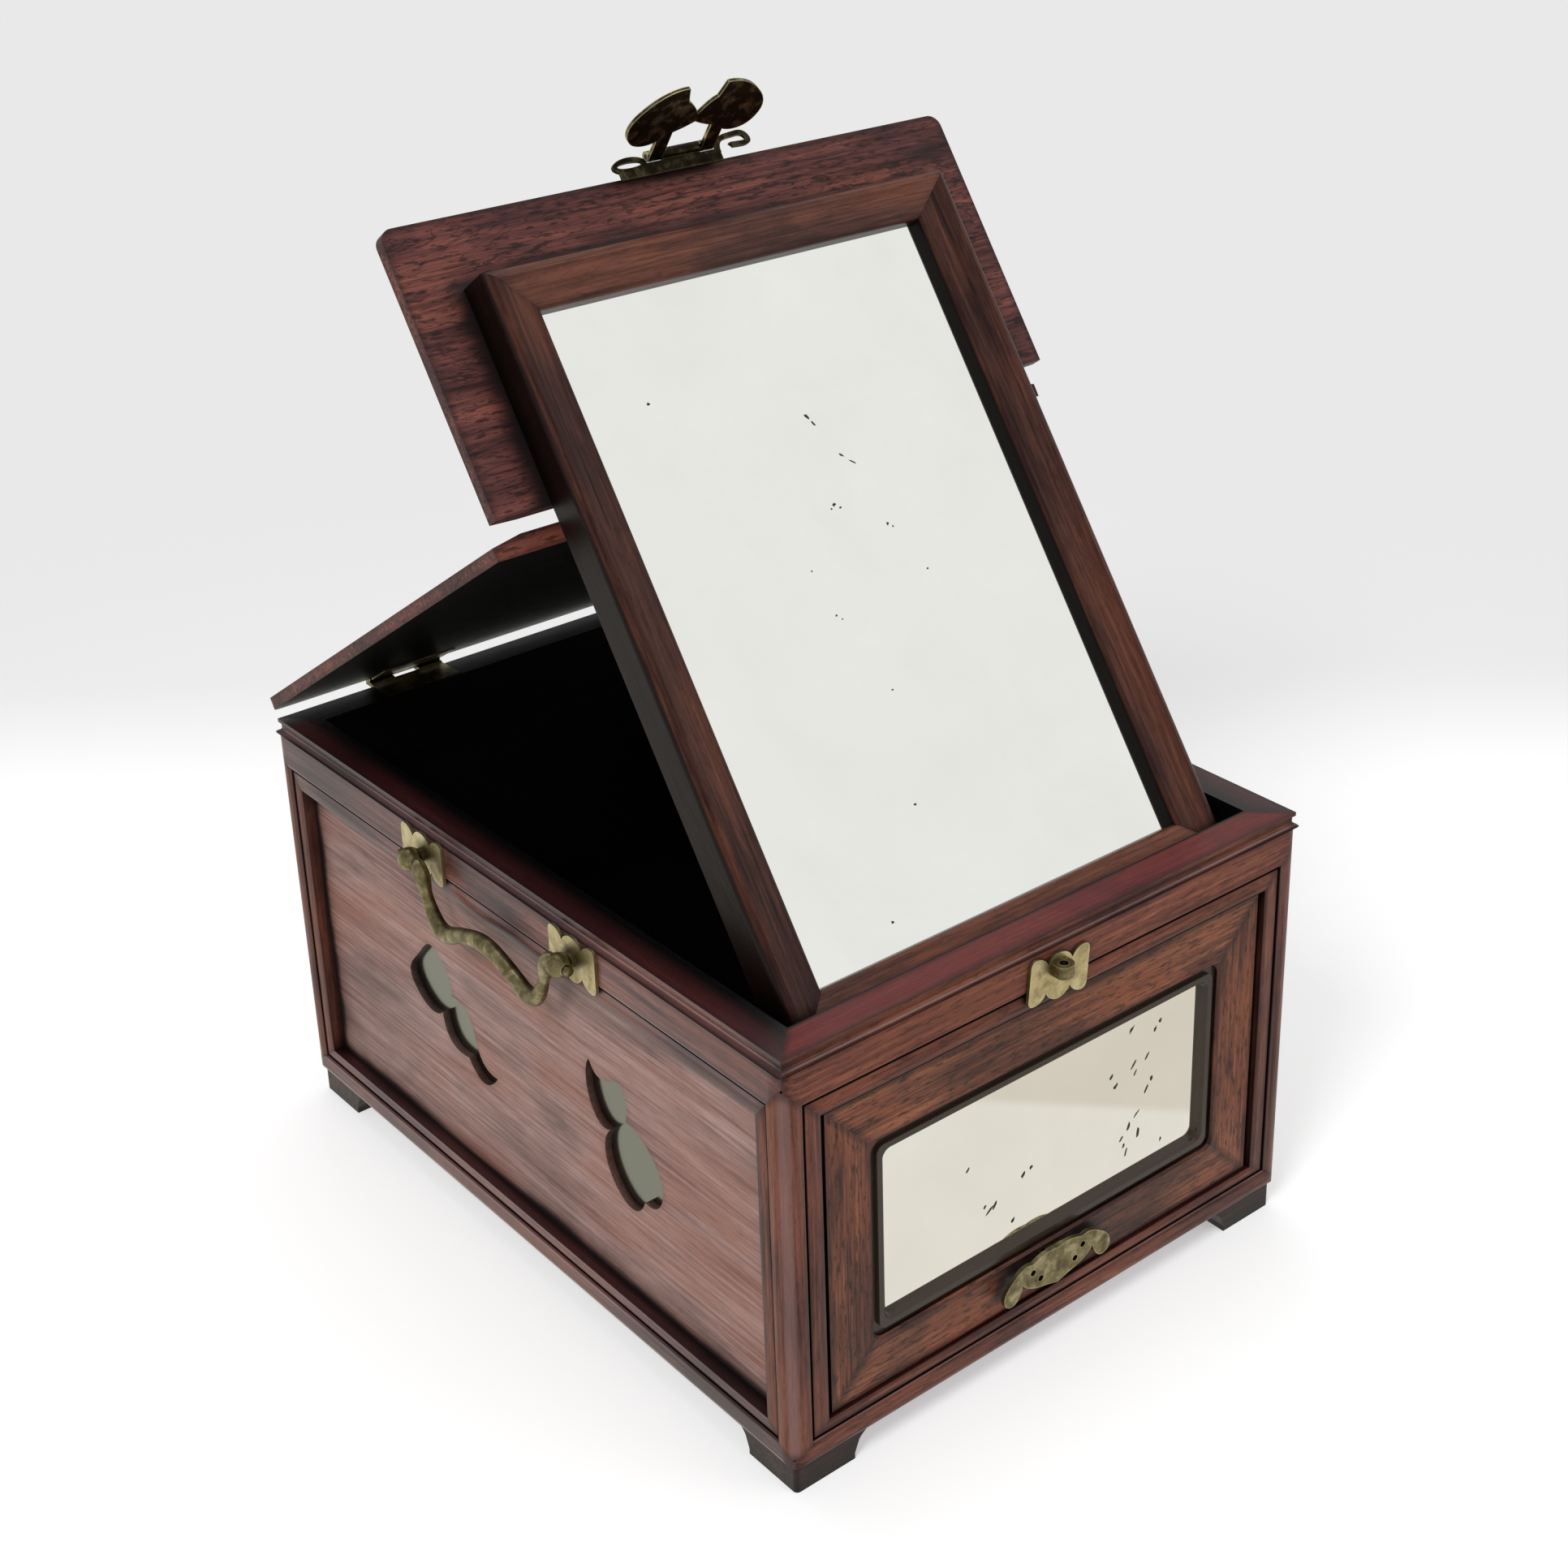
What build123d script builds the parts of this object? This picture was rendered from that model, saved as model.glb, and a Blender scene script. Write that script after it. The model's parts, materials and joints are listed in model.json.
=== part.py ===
from build123d import *
import math
import os

# Vanity box with a lid that folds in two and props a mirror up on it, a mirrored
# drawer below, pierced side panels and brass fittings. Millimetres; the origin is
# on the floor under the middle of the case, +X to the right, the front faces -Y.

# Case
CASE_W = 195.0  # over the thin top lip
CASE_D = 260.7
CASE_H = 142.2
BULGE = 1.15  # the moulded faces stand this far out past the lip
FOOT_H = 9.0
CORNER_R = 5.4
LIP_CORNER_R = 1.5
LIP_T = 1.2
COVE_H = 3.4  # hollow under the lip
COVE_IN = 1.9
COVE_CURVE = 1.4
RAIL_T = 12.1  # from the moulded face to the inside of a rail
POST_FRONT_W = 13.35  # face of a post seen from the front
POST_SIDE_W = 12.5
TOP_RAIL_FACE = 21.85
BOTTOM_RAIL_FACE = 11.35
BOTTOM_EDGE_R = 2.5

# Moulding round every opening: a low bead, a groove, then the swelled face
BEAD = 5.2
BEAD_SIDE_POST = 4.4
BEAD_BOTTOM = 3.4
BEAD_IN = 1.0
BEAD_CROWN = 0.35
GROOVE = 0.9
GROOVE_SIDE_POST = 0.76
GROOVE_BOTTOM = 0.6
GROOVE_IN = 2.0
SHOULDER_IN = 0.8
SHOULDER_W = 1.4

# Panels in the grooves of the frame
PANEL_IN = 5.2
SIDE_PANEL_T = 2.3
BACK_PANEL_T = 2.8
PANEL_LAP = 2.8
SLOT_DEPTH = 3.0
SLOT_PLAY = 0.1
PANE_T = 2.0  # mirror glass behind the pierced openings
RUN_CLEAR = 0.3

# Boards inside
BOARD_T = 6.0
COMPARTMENT_FLOOR_Z = 44.5
COMPARTMENT_FLOOR_T = 4.0
PARTITION_T = 3.0
PARTITION_DROP = 30.2  # its top below the top of the case
PARTITION_GAP = 1.0
GUIDE_PLAY = 0.5

# Feet
FOOT_INSET = 2.0
FOOT_ARM_T = 9.0
FOOT_ARM_TOP = 27.4
FOOT_ARM_WAIST = 22.6
FOOT_ARM_TOE = 21.0
FOOT_TOE_H = 1.9
FOOT_WAIST_H = 5.9
FOOT_CORNER_R = 1.5

# Lid: a rear leaf hinged to the case and a front leaf folded back on it
LID_SIDE_OVER = 1.5  # past the case's lip at each side
LID_T = 6.0
LID_EDGE_T = 4.0
LID_BEVEL = 9.5
LID_GAP = 0.4  # closed, above the case
FRONT_LEAF_L = 83.5
LEAF_GAP = 1.5
REAR_LEAF_LIFT = 0.3  # keeps the rear leaf off the back of the mirror frame
LID_CORNER_R = 4.0
LID_ANGLE = 33.5  # rear leaf above the level
FOLD_ANGLE = 91.5  # front leaf back from the rear leaf

# Butt hinges at the back and strap hinges on the fold
HINGE_X = 48.7
HINGE_W = 27.0
HINGE_LEAF_L = 14.0
HINGE_LEAF_T = 1.0
KNUCKLE_GAP = 0.15
KNUCKLE_SHARE = 3  # three equal knuckles to a hinge
BACK_AXIS_OUT = 3.0  # axis behind the case
BACK_AXIS_UP = 2.0  # axis above the top of the case
BACK_KNUCKLE_R = 2.0
FOLD_AXIS_IN = 0.6
FOLD_AXIS_UP = 1.6
FOLD_KNUCKLE_R = 1.5
HINGE_PIN_R = 0.8
PIN_CLEAR = 0.05
HINGE_SEAT = 0.6  # depth of the seat for a back hinge in the lid
LEAF_OVERHANG = 0.5
KNUCKLE_WEB_IN = 1.0  # how far the case leaf's web runs on under its knuckles

# Mirror in its frame, fixed under the front leaf
MIRROR_SIDE_GAP = 5.25  # to the inside of a side rail
MIRROR_TOP_S = 62.7  # from the fold edge towards the lid's front
MIRROR_FOOT_GAP = 0.59  # to the inside of the front rail
MIRROR_DEPTH = 13.5
MIRROR_SIDE_W = 14.0
MIRROR_END_W = 13.0
MIRROR_ARRIS_R = 3.0
MIRROR_BEAD_W = 2.4
MIRROR_BEAD_DROP = 2.6
MIRROR_SAG = 1.56  # drop of the face halfway to the bead
MIRROR_GLASS_DROP = 7.0
MIRROR_GLASS_T = 2.5
MIRROR_LAP = 4.0
MIRROR_PLAY = 0.2
BACKBOARD_T = 3.6

# Hasp on the lid's front edge
HASP_REACH = 4.2  # axis past the lid's edge
HASP_RISE = 3.0  # axis below the lid's underside
HASP_BASE_HALF_W = 12.0
HASP_BASE_T = 1.0
HASP_BASE_L = 14.0
HASP_BASE_FOOT = 3.4  # the end plate reaches this far below the underside
HASP_SEAT = 4.0  # height of the plate's seat above the underside
HASP_ANGLE = 70.0  # from the leaf towards its underside
HASP_T = 1.1
HASP_LEG_IN = 6.8
HASP_LEG_OUT = 11.6
HASP_KNUCKLE_R = 1.6
# Half its outline as (across, from the axis): the arch, then round the lobe to the notch
HASP_ARCH = ((0.0, 13.0), (2.0, 12.0), (4.4, 11.0), (6.8, 10.2))
HASP_LOBE = (
    (11.6, 7.6), (16.8, 6.8), (20.2, 8.0), (22.6, 10.7), (23.5, 13.9),
    (22.7, 17.3), (19.9, 21.1), (15.6, 24.6), (10.8, 26.6), (6.7, 26.9),
)
HASP_HOOK = ((6.7, 26.9), (6.0, 24.3), (5.2, 21.6))
HASP_NOTCH = ((5.2, 21.6), (3.3, 20.2), (1.7, 18.4), (0.0, 16.0))
# Pierced ornament along the base: a strip, a loop at the left and a hook at the right
STRIP_LEFT = -22.0
STRIP_RIGHT = 13.6
STRIP_CLEAR = 0.3  # to the legs' knuckles
STRIP_OVER = 1.4  # back over the lid's underside
SCROLL_T = 1.6
SCROLL_A = 5.8
SCROLL_B = 2.4
SCROLL_X = -18.0
SCROLL_S = 2.6  # past the lid's edge
SCROLL_HOOK = (
    (13.0, 1.0), (14.5, 4.7), (19.5, 5.7), (24.0, 4.9), (24.6, 3.3), (22.0, 2.5), (18.0, 2.6),
)

# Staple and its plate on the front rail
PLATE_W = 22.4
PLATE_H = 14.4
PLATE_T = 1.0
PLATE_DROP = 13.7  # its middle below the top of the case
PLATE_X = -2.0
PLATE_TURN = 5.5  # degrees, clockwise from the front
PLATE_NOTCH_X = 4.6
PLATE_NOTCH_IN = 2.9
PLATE_CORNER_R = 2.0
STAPLE_X = -2.4
STAPLE_W = 6.0
STAPLE_H = 4.2
STAPLE_OUT = 6.0
STAPLE_DROP = 10.7
STAPLE_EYE_R = 1.3
STAPLE_EYE_IN = 2.9
STAPLE_TIP_R = 2.8
STAPLE_EDGE_R = 1.0

# Bail handles on the sides
HANDLE_Y = 39.65
HANDLE_DROP = 11.2  # axis below the top of the case
HANDLE_OUT = 5.2  # from the face to the bail's axis
HANDLE_BALL_R = 3.7
HANDLE_STEM_R = 2.2
BAIL_END_R = 1.5
BAIL_R = 2.5
BAIL_END_OUT = 5.4  # past the middle of the post
BAIL_POINTS = ((35.2, 0.0), (31.2, -8.5), (26.5, -16.0), (20.5, -18.0), (11.0, -13.8), (0.0, -11.6))

# Drawer
DRAWER_IN = 2.0
DRAWER_SIDE_GAP = 1.9
DRAWER_LOW_GAP = 0.35
DRAWER_TOP_GAP = 1.15
DRAWER_FRONT_T = 11.5
STILE_W = 15.9
LOW_MEMBER_W = 15.9
TOP_MEMBER_W = 17.3
WINDOW_R = 3.5
WINDOW_EDGE = 0.8
LINER_W = 4.8
LINER_GROOVE_IN = 1.8  # behind the drawer's face
LINER_BEAD_IN = 0.5
LINER_BEAD_FROM = 2.1  # from the window's edge
LINER_BEAD_R = 2.6
LINER_INNER_R = 2.2
LINER_BEVEL = 0.9
DRAWER_GLASS_IN = 3.0
DRAWER_GLASS_T = 2.0
DRAWER_LAP = 3.0
DRAWER_SIDE_T = 5.0
DRAWER_BOX_TOP_GAP = 1.2  # under the compartment's floor
DRAWER_BOX_BACK_GAP = 7.4  # to the inside of the back rail
DRAWER_BOTTOM_T = 3.0
DRAWER_BOTTOM_UP = 1.5

# Bat-shaped drawer pull
PULL_X = -1.3
PULL_UP = 9.7  # middle of its body above the drawer's lower edge
PULL_T = 1.4
PULL_OFF = 2.6  # back of the plate from the drawer's face
PULL_AXIS_UP = 4.2
PULL_ROD_R = 0.8
PULL_ROD_HALF = 5.2
PULL_LUG_HALF = 3.0
PULL_LUG_R = 1.5
PULL_STEM_R = 0.7
PULL_STEM_X = 4.2
PULL_HOLE_R = 1.0

# Worked out from the sizes above
FACE_X = CASE_W / 2 + BULGE
FACE_Y = CASE_D / 2 + BULGE
OPEN_X = FACE_X - POST_FRONT_W
OPEN_Y = FACE_Y - POST_SIDE_W
OPEN_TOP = CASE_H - TOP_RAIL_FACE
OPEN_LOW = FOOT_H + BOTTOM_RAIL_FACE
INNER_X = FACE_X - RAIL_T
INNER_Y = FACE_Y - RAIL_T
LID_W = CASE_W + 2 * LID_SIDE_OVER
MIRROR_W = 2 * (INNER_X - MIRROR_SIDE_GAP)
PARTITION_TOP_Z = CASE_H - PARTITION_DROP
PLATE_Z = CASE_H - PLATE_DROP
STAPLE_Z = CASE_H - STAPLE_DROP
HANDLE_Z = CASE_H - HANDLE_DROP
SIDES = (("left", -1), ("right", 1))
ENDS = (("front", -1), ("back", 1))
X_AXIS = (1, 0, 0)


def save(part, name):
    part.label = name
    export_step(part, f"parts/{name}.step")


os.makedirs("parts", exist_ok=True)


# Frame of the case ---------------------------------------------------------------

def moulding(place, bead, groove):
    """Bead, groove and shoulder, from the opening's edge outwards."""
    edge = bead + groove
    ThreePointArc(place(0, BEAD_IN), place(bead / 2, BEAD_IN - BEAD_CROWN), place(bead, BEAD_IN))
    Polyline(place(bead, BEAD_IN), place(bead, GROOVE_IN), place(edge, GROOVE_IN), place(edge, SHOULDER_IN))
    middle = place(edge + SHOULDER_W / 3, SHOULDER_IN / 3)
    ThreePointArc(place(edge, SHOULDER_IN), middle, place(edge + SHOULDER_W, 0))


def slot_points(place, thickness):
    """The groove for a panel, across the edge of a rail or post."""
    near, far = PANEL_IN, PANEL_IN + thickness + SLOT_PLAY
    return [place(0, far), place(-SLOT_DEPTH, far), place(-SLOT_DEPTH, near), place(0, near)]


def top_rail_section(face, sign, slot):
    def place(w, depth):
        return (sign * (face - depth), OPEN_TOP + w)

    height = TOP_RAIL_FACE
    cove_top, cove_low = height - LIP_T, height - LIP_T - COVE_H
    with BuildLine() as outline:
        moulding(place, BEAD, GROOVE)
        Line(place(BEAD + GROOVE + SHOULDER_W, 0), place(cove_low, 0))
        ThreePointArc(
            place(cove_low, 0),
            place(cove_low + COVE_CURVE / 3, COVE_IN * 2 / 3),
            place(cove_low + COVE_CURVE, COVE_IN),
        )
        points = [
            place(cove_low + COVE_CURVE, COVE_IN),
            place(cove_top, COVE_IN),
            place(cove_top, BULGE),
            place(height, BULGE),
            place(height, RAIL_T),
            place(0, RAIL_T),
        ]
        if slot:
            points += slot_points(lambda w, d: place(-w, d), slot)
        Polyline(*points, place(0, BEAD_IN))
    make_face(outline.edges())


def bottom_rail_section(face, sign, slot):
    def place(w, depth):
        return (sign * (face - depth), OPEN_LOW - w)

    height = BOTTOM_RAIL_FACE
    with BuildLine() as outline:
        moulding(place, BEAD_BOTTOM, GROOVE_BOTTOM)
        Line(place(BEAD_BOTTOM + GROOVE_BOTTOM + SHOULDER_W, 0), place(height - BOTTOM_EDGE_R, 0))
        middle = BOTTOM_EDGE_R * (1 - math.sqrt(0.5))
        ThreePointArc(
            place(height - BOTTOM_EDGE_R, 0), place(height - middle, middle), place(height, BOTTOM_EDGE_R)
        )
        points = [place(height, BOTTOM_EDGE_R), place(height, RAIL_T), place(0, RAIL_T)]
        if slot:
            points += slot_points(lambda w, d: place(-w, d), slot)
        Polyline(*points, place(0, BEAD_IN))
    make_face(outline.edges())


def front_mitre(sx, top):
    """Plane between a post and a front or back rail; its +Z side is the rail's."""
    across, up = BEAD, BEAD if top else BEAD_BOTTOM
    level = OPEN_TOP if top else OPEN_LOW
    return Plane(origin=(sx * OPEN_X, 0, level), z_dir=(-sx * up, 0, across if top else -across))


def side_mitre(sy, top):
    """Plane between a post and a side rail; its +Z side is the rail's."""
    across, up = BEAD_SIDE_POST, BEAD if top else BEAD_BOTTOM
    level = OPEN_TOP if top else OPEN_LOW
    return Plane(origin=(0, sy * OPEN_Y, level), z_dir=(0, -sy * up, across if top else -across))


def plan_mitre(sx, sy):
    """Plane between two rails at a corner; its +Z side is the front or back rail's."""
    return Plane(origin=(sx * FACE_X, sy * FACE_Y, 0), z_dir=(-sx, sy, 0))


with BuildPart() as corner_envelope:
    with BuildSketch():
        RectangleRounded(2 * FACE_X, 2 * FACE_Y, CORNER_R)
    extrude(amount=CASE_H - LIP_T - COVE_H)
    with BuildSketch(Plane.XY.offset(CASE_H - LIP_T - COVE_H)):
        RectangleRounded(2 * FACE_X, 2 * FACE_Y, LIP_CORNER_R)
    extrude(amount=LIP_T + COVE_H)


def cut_hinge_seats(z_low):
    """Shallow seats for the back hinges in the top of the rear rail."""
    for x in (-HINGE_X, HINGE_X):
        with BuildSketch(Plane.XY.offset(z_low)) as seat:
            with Locations((x, FACE_Y + BACK_AXIS_OUT - HINGE_LEAF_L / 2)):
                Rectangle(HINGE_W, HINGE_LEAF_L)
        extrude(seat.sketch, amount=2 * HINGE_LEAF_T, mode=Mode.SUBTRACT)


BACK_AXIS = (FACE_Y + BACK_AXIS_OUT, CASE_H + BACK_AXIS_UP)
CASE_LEAF_LOW = -BACK_AXIS_UP - HINGE_LEAF_T + PIN_CLEAR * 2  # under the axis

for end, sy in ENDS:
    slot = BACK_PANEL_T if end == "back" else None
    for level, top, section in (("top", True, top_rail_section), ("bottom", False, bottom_rail_section)):
        with BuildPart() as rail:
            with BuildSketch(Plane.YZ):
                section(FACE_Y, sy, slot)
            extrude(amount=FACE_X, both=True)
            for _, sx in SIDES:
                split(bisect_by=front_mitre(sx, top), keep=Keep.TOP)
                split(bisect_by=plan_mitre(sx, sy), keep=Keep.TOP)
            add(corner_envelope.part, mode=Mode.INTERSECT)
            if top and end == "back":
                cut_hinge_seats(BACK_AXIS[1] + CASE_LEAF_LOW)
        save(rail.part, f"{level}_rail_{end}")

for side, sx in SIDES:
    for level, top, section in (("top", True, top_rail_section), ("bottom", False, bottom_rail_section)):
        with BuildPart() as rail:
            with BuildSketch(Plane.XZ):
                section(FACE_X, sx, SIDE_PANEL_T + PANE_T)
            extrude(amount=FACE_Y, both=True)
            for _, sy in ENDS:
                split(bisect_by=side_mitre(sy, top), keep=Keep.TOP)
                split(bisect_by=plan_mitre(sx, sy), keep=Keep.BOTTOM)
            add(corner_envelope.part, mode=Mode.INTERSECT)
        save(rail.part, f"{level}_rail_{side}")


def post_section(sx, sy, back):
    def on_front(w, depth):
        return (sx * (OPEN_X + w), sy * (FACE_Y - depth))

    def on_side(w, depth):
        return (sx * (FACE_X - depth), sy * (OPEN_Y + w))

    front_edge = BEAD + GROOVE + SHOULDER_W
    side_edge = BEAD_SIDE_POST + GROOVE_SIDE_POST + SHOULDER_W
    bend = CORNER_R * (1 - math.sin(math.pi / 4))
    with BuildLine() as outline:
        moulding(on_front, BEAD, GROOVE)
        Line(on_front(front_edge, 0), (sx * (FACE_X - CORNER_R), sy * FACE_Y))
        ThreePointArc(
            (sx * (FACE_X - CORNER_R), sy * FACE_Y),
            (sx * (FACE_X - bend), sy * (FACE_Y - bend)),
            (sx * FACE_X, sy * (FACE_Y - CORNER_R)),
        )
        Line((sx * FACE_X, sy * (FACE_Y - CORNER_R)), on_side(side_edge, 0))
        moulding(on_side, BEAD_SIDE_POST, GROOVE_SIDE_POST)
        points = [on_side(0, BEAD_IN)]
        points += reversed(slot_points(lambda w, d: on_side(-w, d), SIDE_PANEL_T + PANE_T))
        points += [on_side(0, POST_FRONT_W)]
        if back:
            points += slot_points(lambda w, d: on_front(-w, d), BACK_PANEL_T)
        Polyline(*points, on_front(0, BEAD_IN))
    make_face(outline.edges())


for end, sy in ENDS:
    for side, sx in SIDES:
        with BuildPart() as post:
            with BuildSketch(Plane.XY.offset(FOOT_H)):
                post_section(sx, sy, end == "back")
            extrude(amount=CASE_H - FOOT_H)
            for top in (True, False):
                split(bisect_by=front_mitre(sx, top), keep=Keep.BOTTOM)
                split(bisect_by=side_mitre(sy, top), keep=Keep.BOTTOM)
        save(post.part, f"post_{end}_{side}")


# Panels, panes and boards ----------------------------------------------------------

# Cloud-shaped openings, as (distance forward of the middle, height); each run of
# points is one smooth stretch and the runs meet at cusps.
REAR_CLOUD = (
    ((-41.5, 77.5), (-44.2, 86.9), (-52.0, 91.3), (-59.8, 84.7), (-66.2, 75.8), (-58.5, 67.0), (-48.1, 68.6)),
    ((-48.1, 68.6), (-44.6, 60.0), (-34.2, 58.6)),
    ((-34.2, 58.6), (-27.0, 53.2), (-17.8, 58.9)),
    ((-17.8, 58.9), (-27.6, 63.6), (-30.4, 72.0), (-41.5, 77.5)),
)
FRONT_CLOUD = (
    ((34.7, 93.0), (33.2, 80.5), (38.4, 72.8), (45.8, 74.7)),
    ((45.8, 74.7), (40.2, 66.3), (43.2, 56.0), (51.5, 50.4), (59.1, 56.3)),
    ((59.1, 56.3), (66.0, 58.4), (68.4, 65.2), (64.6, 74.0), (51.6, 80.0)),
    ((51.6, 80.0), (52.6, 85.5), (50.2, 92.4)),
    ((50.2, 92.4), (45.8, 91.0), (40.5, 89.0), (34.7, 93.0)),
)


def cloud(runs, sx):
    with BuildLine() as outline:
        for run in runs:
            Spline(*[(-forward, z) for forward, z in run])
    make_face(outline.edges())


for side, sx in SIDES:
    outer = FACE_X - PANEL_IN
    height, middle = OPEN_TOP - OPEN_LOW + 2 * PANEL_LAP, (OPEN_TOP + OPEN_LOW) / 2
    with BuildPart() as panel:
        with BuildSketch(Plane.YZ.offset(sx * outer)):
            with Locations((0, middle)):
                Rectangle(2 * (OPEN_Y + PANEL_LAP), height)
        extrude(amount=-sx * SIDE_PANEL_T)
        for runs in (REAR_CLOUD, FRONT_CLOUD):
            with BuildSketch(Plane.YZ.offset(sx * outer)):
                cloud(runs, sx)
            extrude(amount=-sx * SIDE_PANEL_T, mode=Mode.SUBTRACT)
    save(panel.part, f"side_panel_{side}")
    with BuildPart() as pane:
        with BuildSketch(Plane.YZ.offset(sx * (outer - SIDE_PANEL_T))):
            with Locations((0, middle)):
                Rectangle(2 * (OPEN_Y + PANEL_LAP), height)
        extrude(amount=-sx * PANE_T)
    save(pane.part, f"side_mirror_{side}")

with BuildPart() as back_panel:
    with BuildSketch(Plane.XZ.offset(-(FACE_Y - PANEL_IN))):
        with Locations((0, (OPEN_TOP + OPEN_LOW) / 2)):
            Rectangle(2 * (OPEN_X + PANEL_LAP), OPEN_TOP - OPEN_LOW + 2 * PANEL_LAP)
    extrude(amount=BACK_PANEL_T)
save(back_panel.part, "back_panel")

PANE_INNER_X = FACE_X - PANEL_IN - SIDE_PANEL_T - PANE_T
DRAWER_FACE_Y = -(FACE_Y - DRAWER_IN)
DRAWER_FRONT_BACK_Y = DRAWER_FACE_Y + DRAWER_FRONT_T
PARTITION_Y = DRAWER_FRONT_BACK_Y + PARTITION_GAP
DRAWER_HALF_W = OPEN_X - DRAWER_SIDE_GAP
DRAWER_LOW = OPEN_LOW + DRAWER_LOW_GAP
DRAWER_TOP = OPEN_TOP - DRAWER_TOP_GAP
DRAWER_BOX_H = COMPARTMENT_FLOOR_Z - DRAWER_BOX_TOP_GAP - DRAWER_LOW
DRAWER_BOX_BACK_Y = INNER_Y - DRAWER_BOX_BACK_GAP
PULL_Z = DRAWER_LOW + PULL_UP

with BuildPart() as bottom_board:
    with BuildSketch(Plane.XY.offset(OPEN_LOW - BOARD_T)):
        Rectangle(2 * INNER_X, 2 * OPEN_Y)
    extrude(amount=BOARD_T)
save(bottom_board.part, "bottom_board")

with BuildPart() as compartment_floor:
    with BuildSketch(Plane.XY.offset(COMPARTMENT_FLOOR_Z)):
        with Locations((0, (PARTITION_Y + OPEN_Y) / 2)):
            Rectangle(2 * PANE_INNER_X, OPEN_Y - PARTITION_Y)
    extrude(amount=COMPARTMENT_FLOOR_T)
save(compartment_floor.part, "compartment_floor")

with BuildPart() as partition:
    with BuildSketch(Plane.XY.offset(COMPARTMENT_FLOOR_Z + COMPARTMENT_FLOOR_T)):
        with Locations((0, PARTITION_Y + PARTITION_T / 2)):
            Rectangle(2 * PANE_INNER_X, PARTITION_T)
    extrude(amount=PARTITION_TOP_Z - COMPARTMENT_FLOOR_Z - COMPARTMENT_FLOOR_T)
save(partition.part, "compartment_front")

with BuildPart() as drawer_guides:
    guide_inner = DRAWER_HALF_W + GUIDE_PLAY
    for _, sx in SIDES:
        with BuildSketch(Plane.XY.offset(OPEN_LOW)):
            with Locations((sx * (guide_inner + INNER_X) / 2, (PARTITION_Y + OPEN_Y) / 2)):
                Rectangle(INNER_X - guide_inner, OPEN_Y - PARTITION_Y)
        extrude(amount=COMPARTMENT_FLOOR_Z - OPEN_LOW)
save(drawer_guides.part, "drawer_guides")


def foot_arm(plane, reach, sign, thick):
    """One arm of a bracket foot; its end curves in to a narrower toe."""
    corner = reach - FOOT_INSET
    with BuildSketch(plane) as profile:
        with BuildLine():
            Polyline(
                (sign * (reach - FOOT_INSET - FOOT_ARM_TOE), 0),
                (sign * corner, 0),
                (sign * corner, FOOT_H),
                (sign * (corner - FOOT_ARM_TOP), FOOT_H),
            )
            ThreePointArc(
                (sign * (corner - FOOT_ARM_TOP), FOOT_H),
                (sign * (corner - (FOOT_ARM_TOP + 2 * FOOT_ARM_WAIST) / 3), (FOOT_H + FOOT_WAIST_H) / 2),
                (sign * (corner - FOOT_ARM_WAIST), FOOT_WAIST_H),
            )
            Polyline(
                (sign * (corner - FOOT_ARM_WAIST), FOOT_WAIST_H),
                (sign * (corner - FOOT_ARM_TOE), FOOT_TOE_H),
                (sign * (corner - FOOT_ARM_TOE), 0),
            )
        make_face()
    extrude(profile.sketch, amount=thick)


for end, sy in ENDS:
    for side, sx in SIDES:
        with BuildPart() as foot:
            foot_arm(Plane.XZ.offset(-sy * (FACE_Y - FOOT_INSET)), FACE_X, sx, sy * FOOT_ARM_T)
            foot_arm(Plane.YZ.offset(sx * (FACE_X - FOOT_INSET)), FACE_Y, sy, -sx * FOOT_ARM_T)
            outer = foot.edges().filter_by(Axis.Z).sort_by(lambda e: sx * e.center().X + sy * e.center().Y)
            fillet(outer[-1], FOOT_CORNER_R)
        save(foot.part, f"foot_{end}_{side}")


# Staple and handles -----------------------------------------------------------------

def lobed_plate():
    """A plate with three lobes along its top and three along its bottom."""
    w, h, notch = PLATE_W / 2, PLATE_H / 2, PLATE_H / 2 - PLATE_NOTCH_IN
    crest, shoulder = w - PLATE_CORNER_R, h - PLATE_CORNER_R
    with BuildLine() as outline:
        for s in (1, -1):
            ThreePointArc((-PLATE_NOTCH_X, s * notch), (0, s * h), (PLATE_NOTCH_X, s * notch))
            for sx in (1, -1):
                TangentArc((sx * crest, s * h), (sx * PLATE_NOTCH_X, s * notch), tangent=(-sx, 0))
                TangentArc((sx * crest, s * h), (sx * w, s * shoulder), tangent=(sx, 0))
        for sx in (1, -1):
            Line((sx * w, shoulder), (sx * w, -shoulder))
    make_face(outline.edges())


turn = math.radians(PLATE_TURN)
plate_seat = Plane(
    origin=(PLATE_X, -FACE_Y, PLATE_Z), x_dir=(math.cos(turn), 0, -math.sin(turn)), z_dir=(0, -1, 0)
)
with BuildPart() as staple_plate:
    with BuildSketch(plate_seat):
        lobed_plate()
    extrude(amount=PLATE_T)
save(staple_plate.part, "staple_plate")

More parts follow.
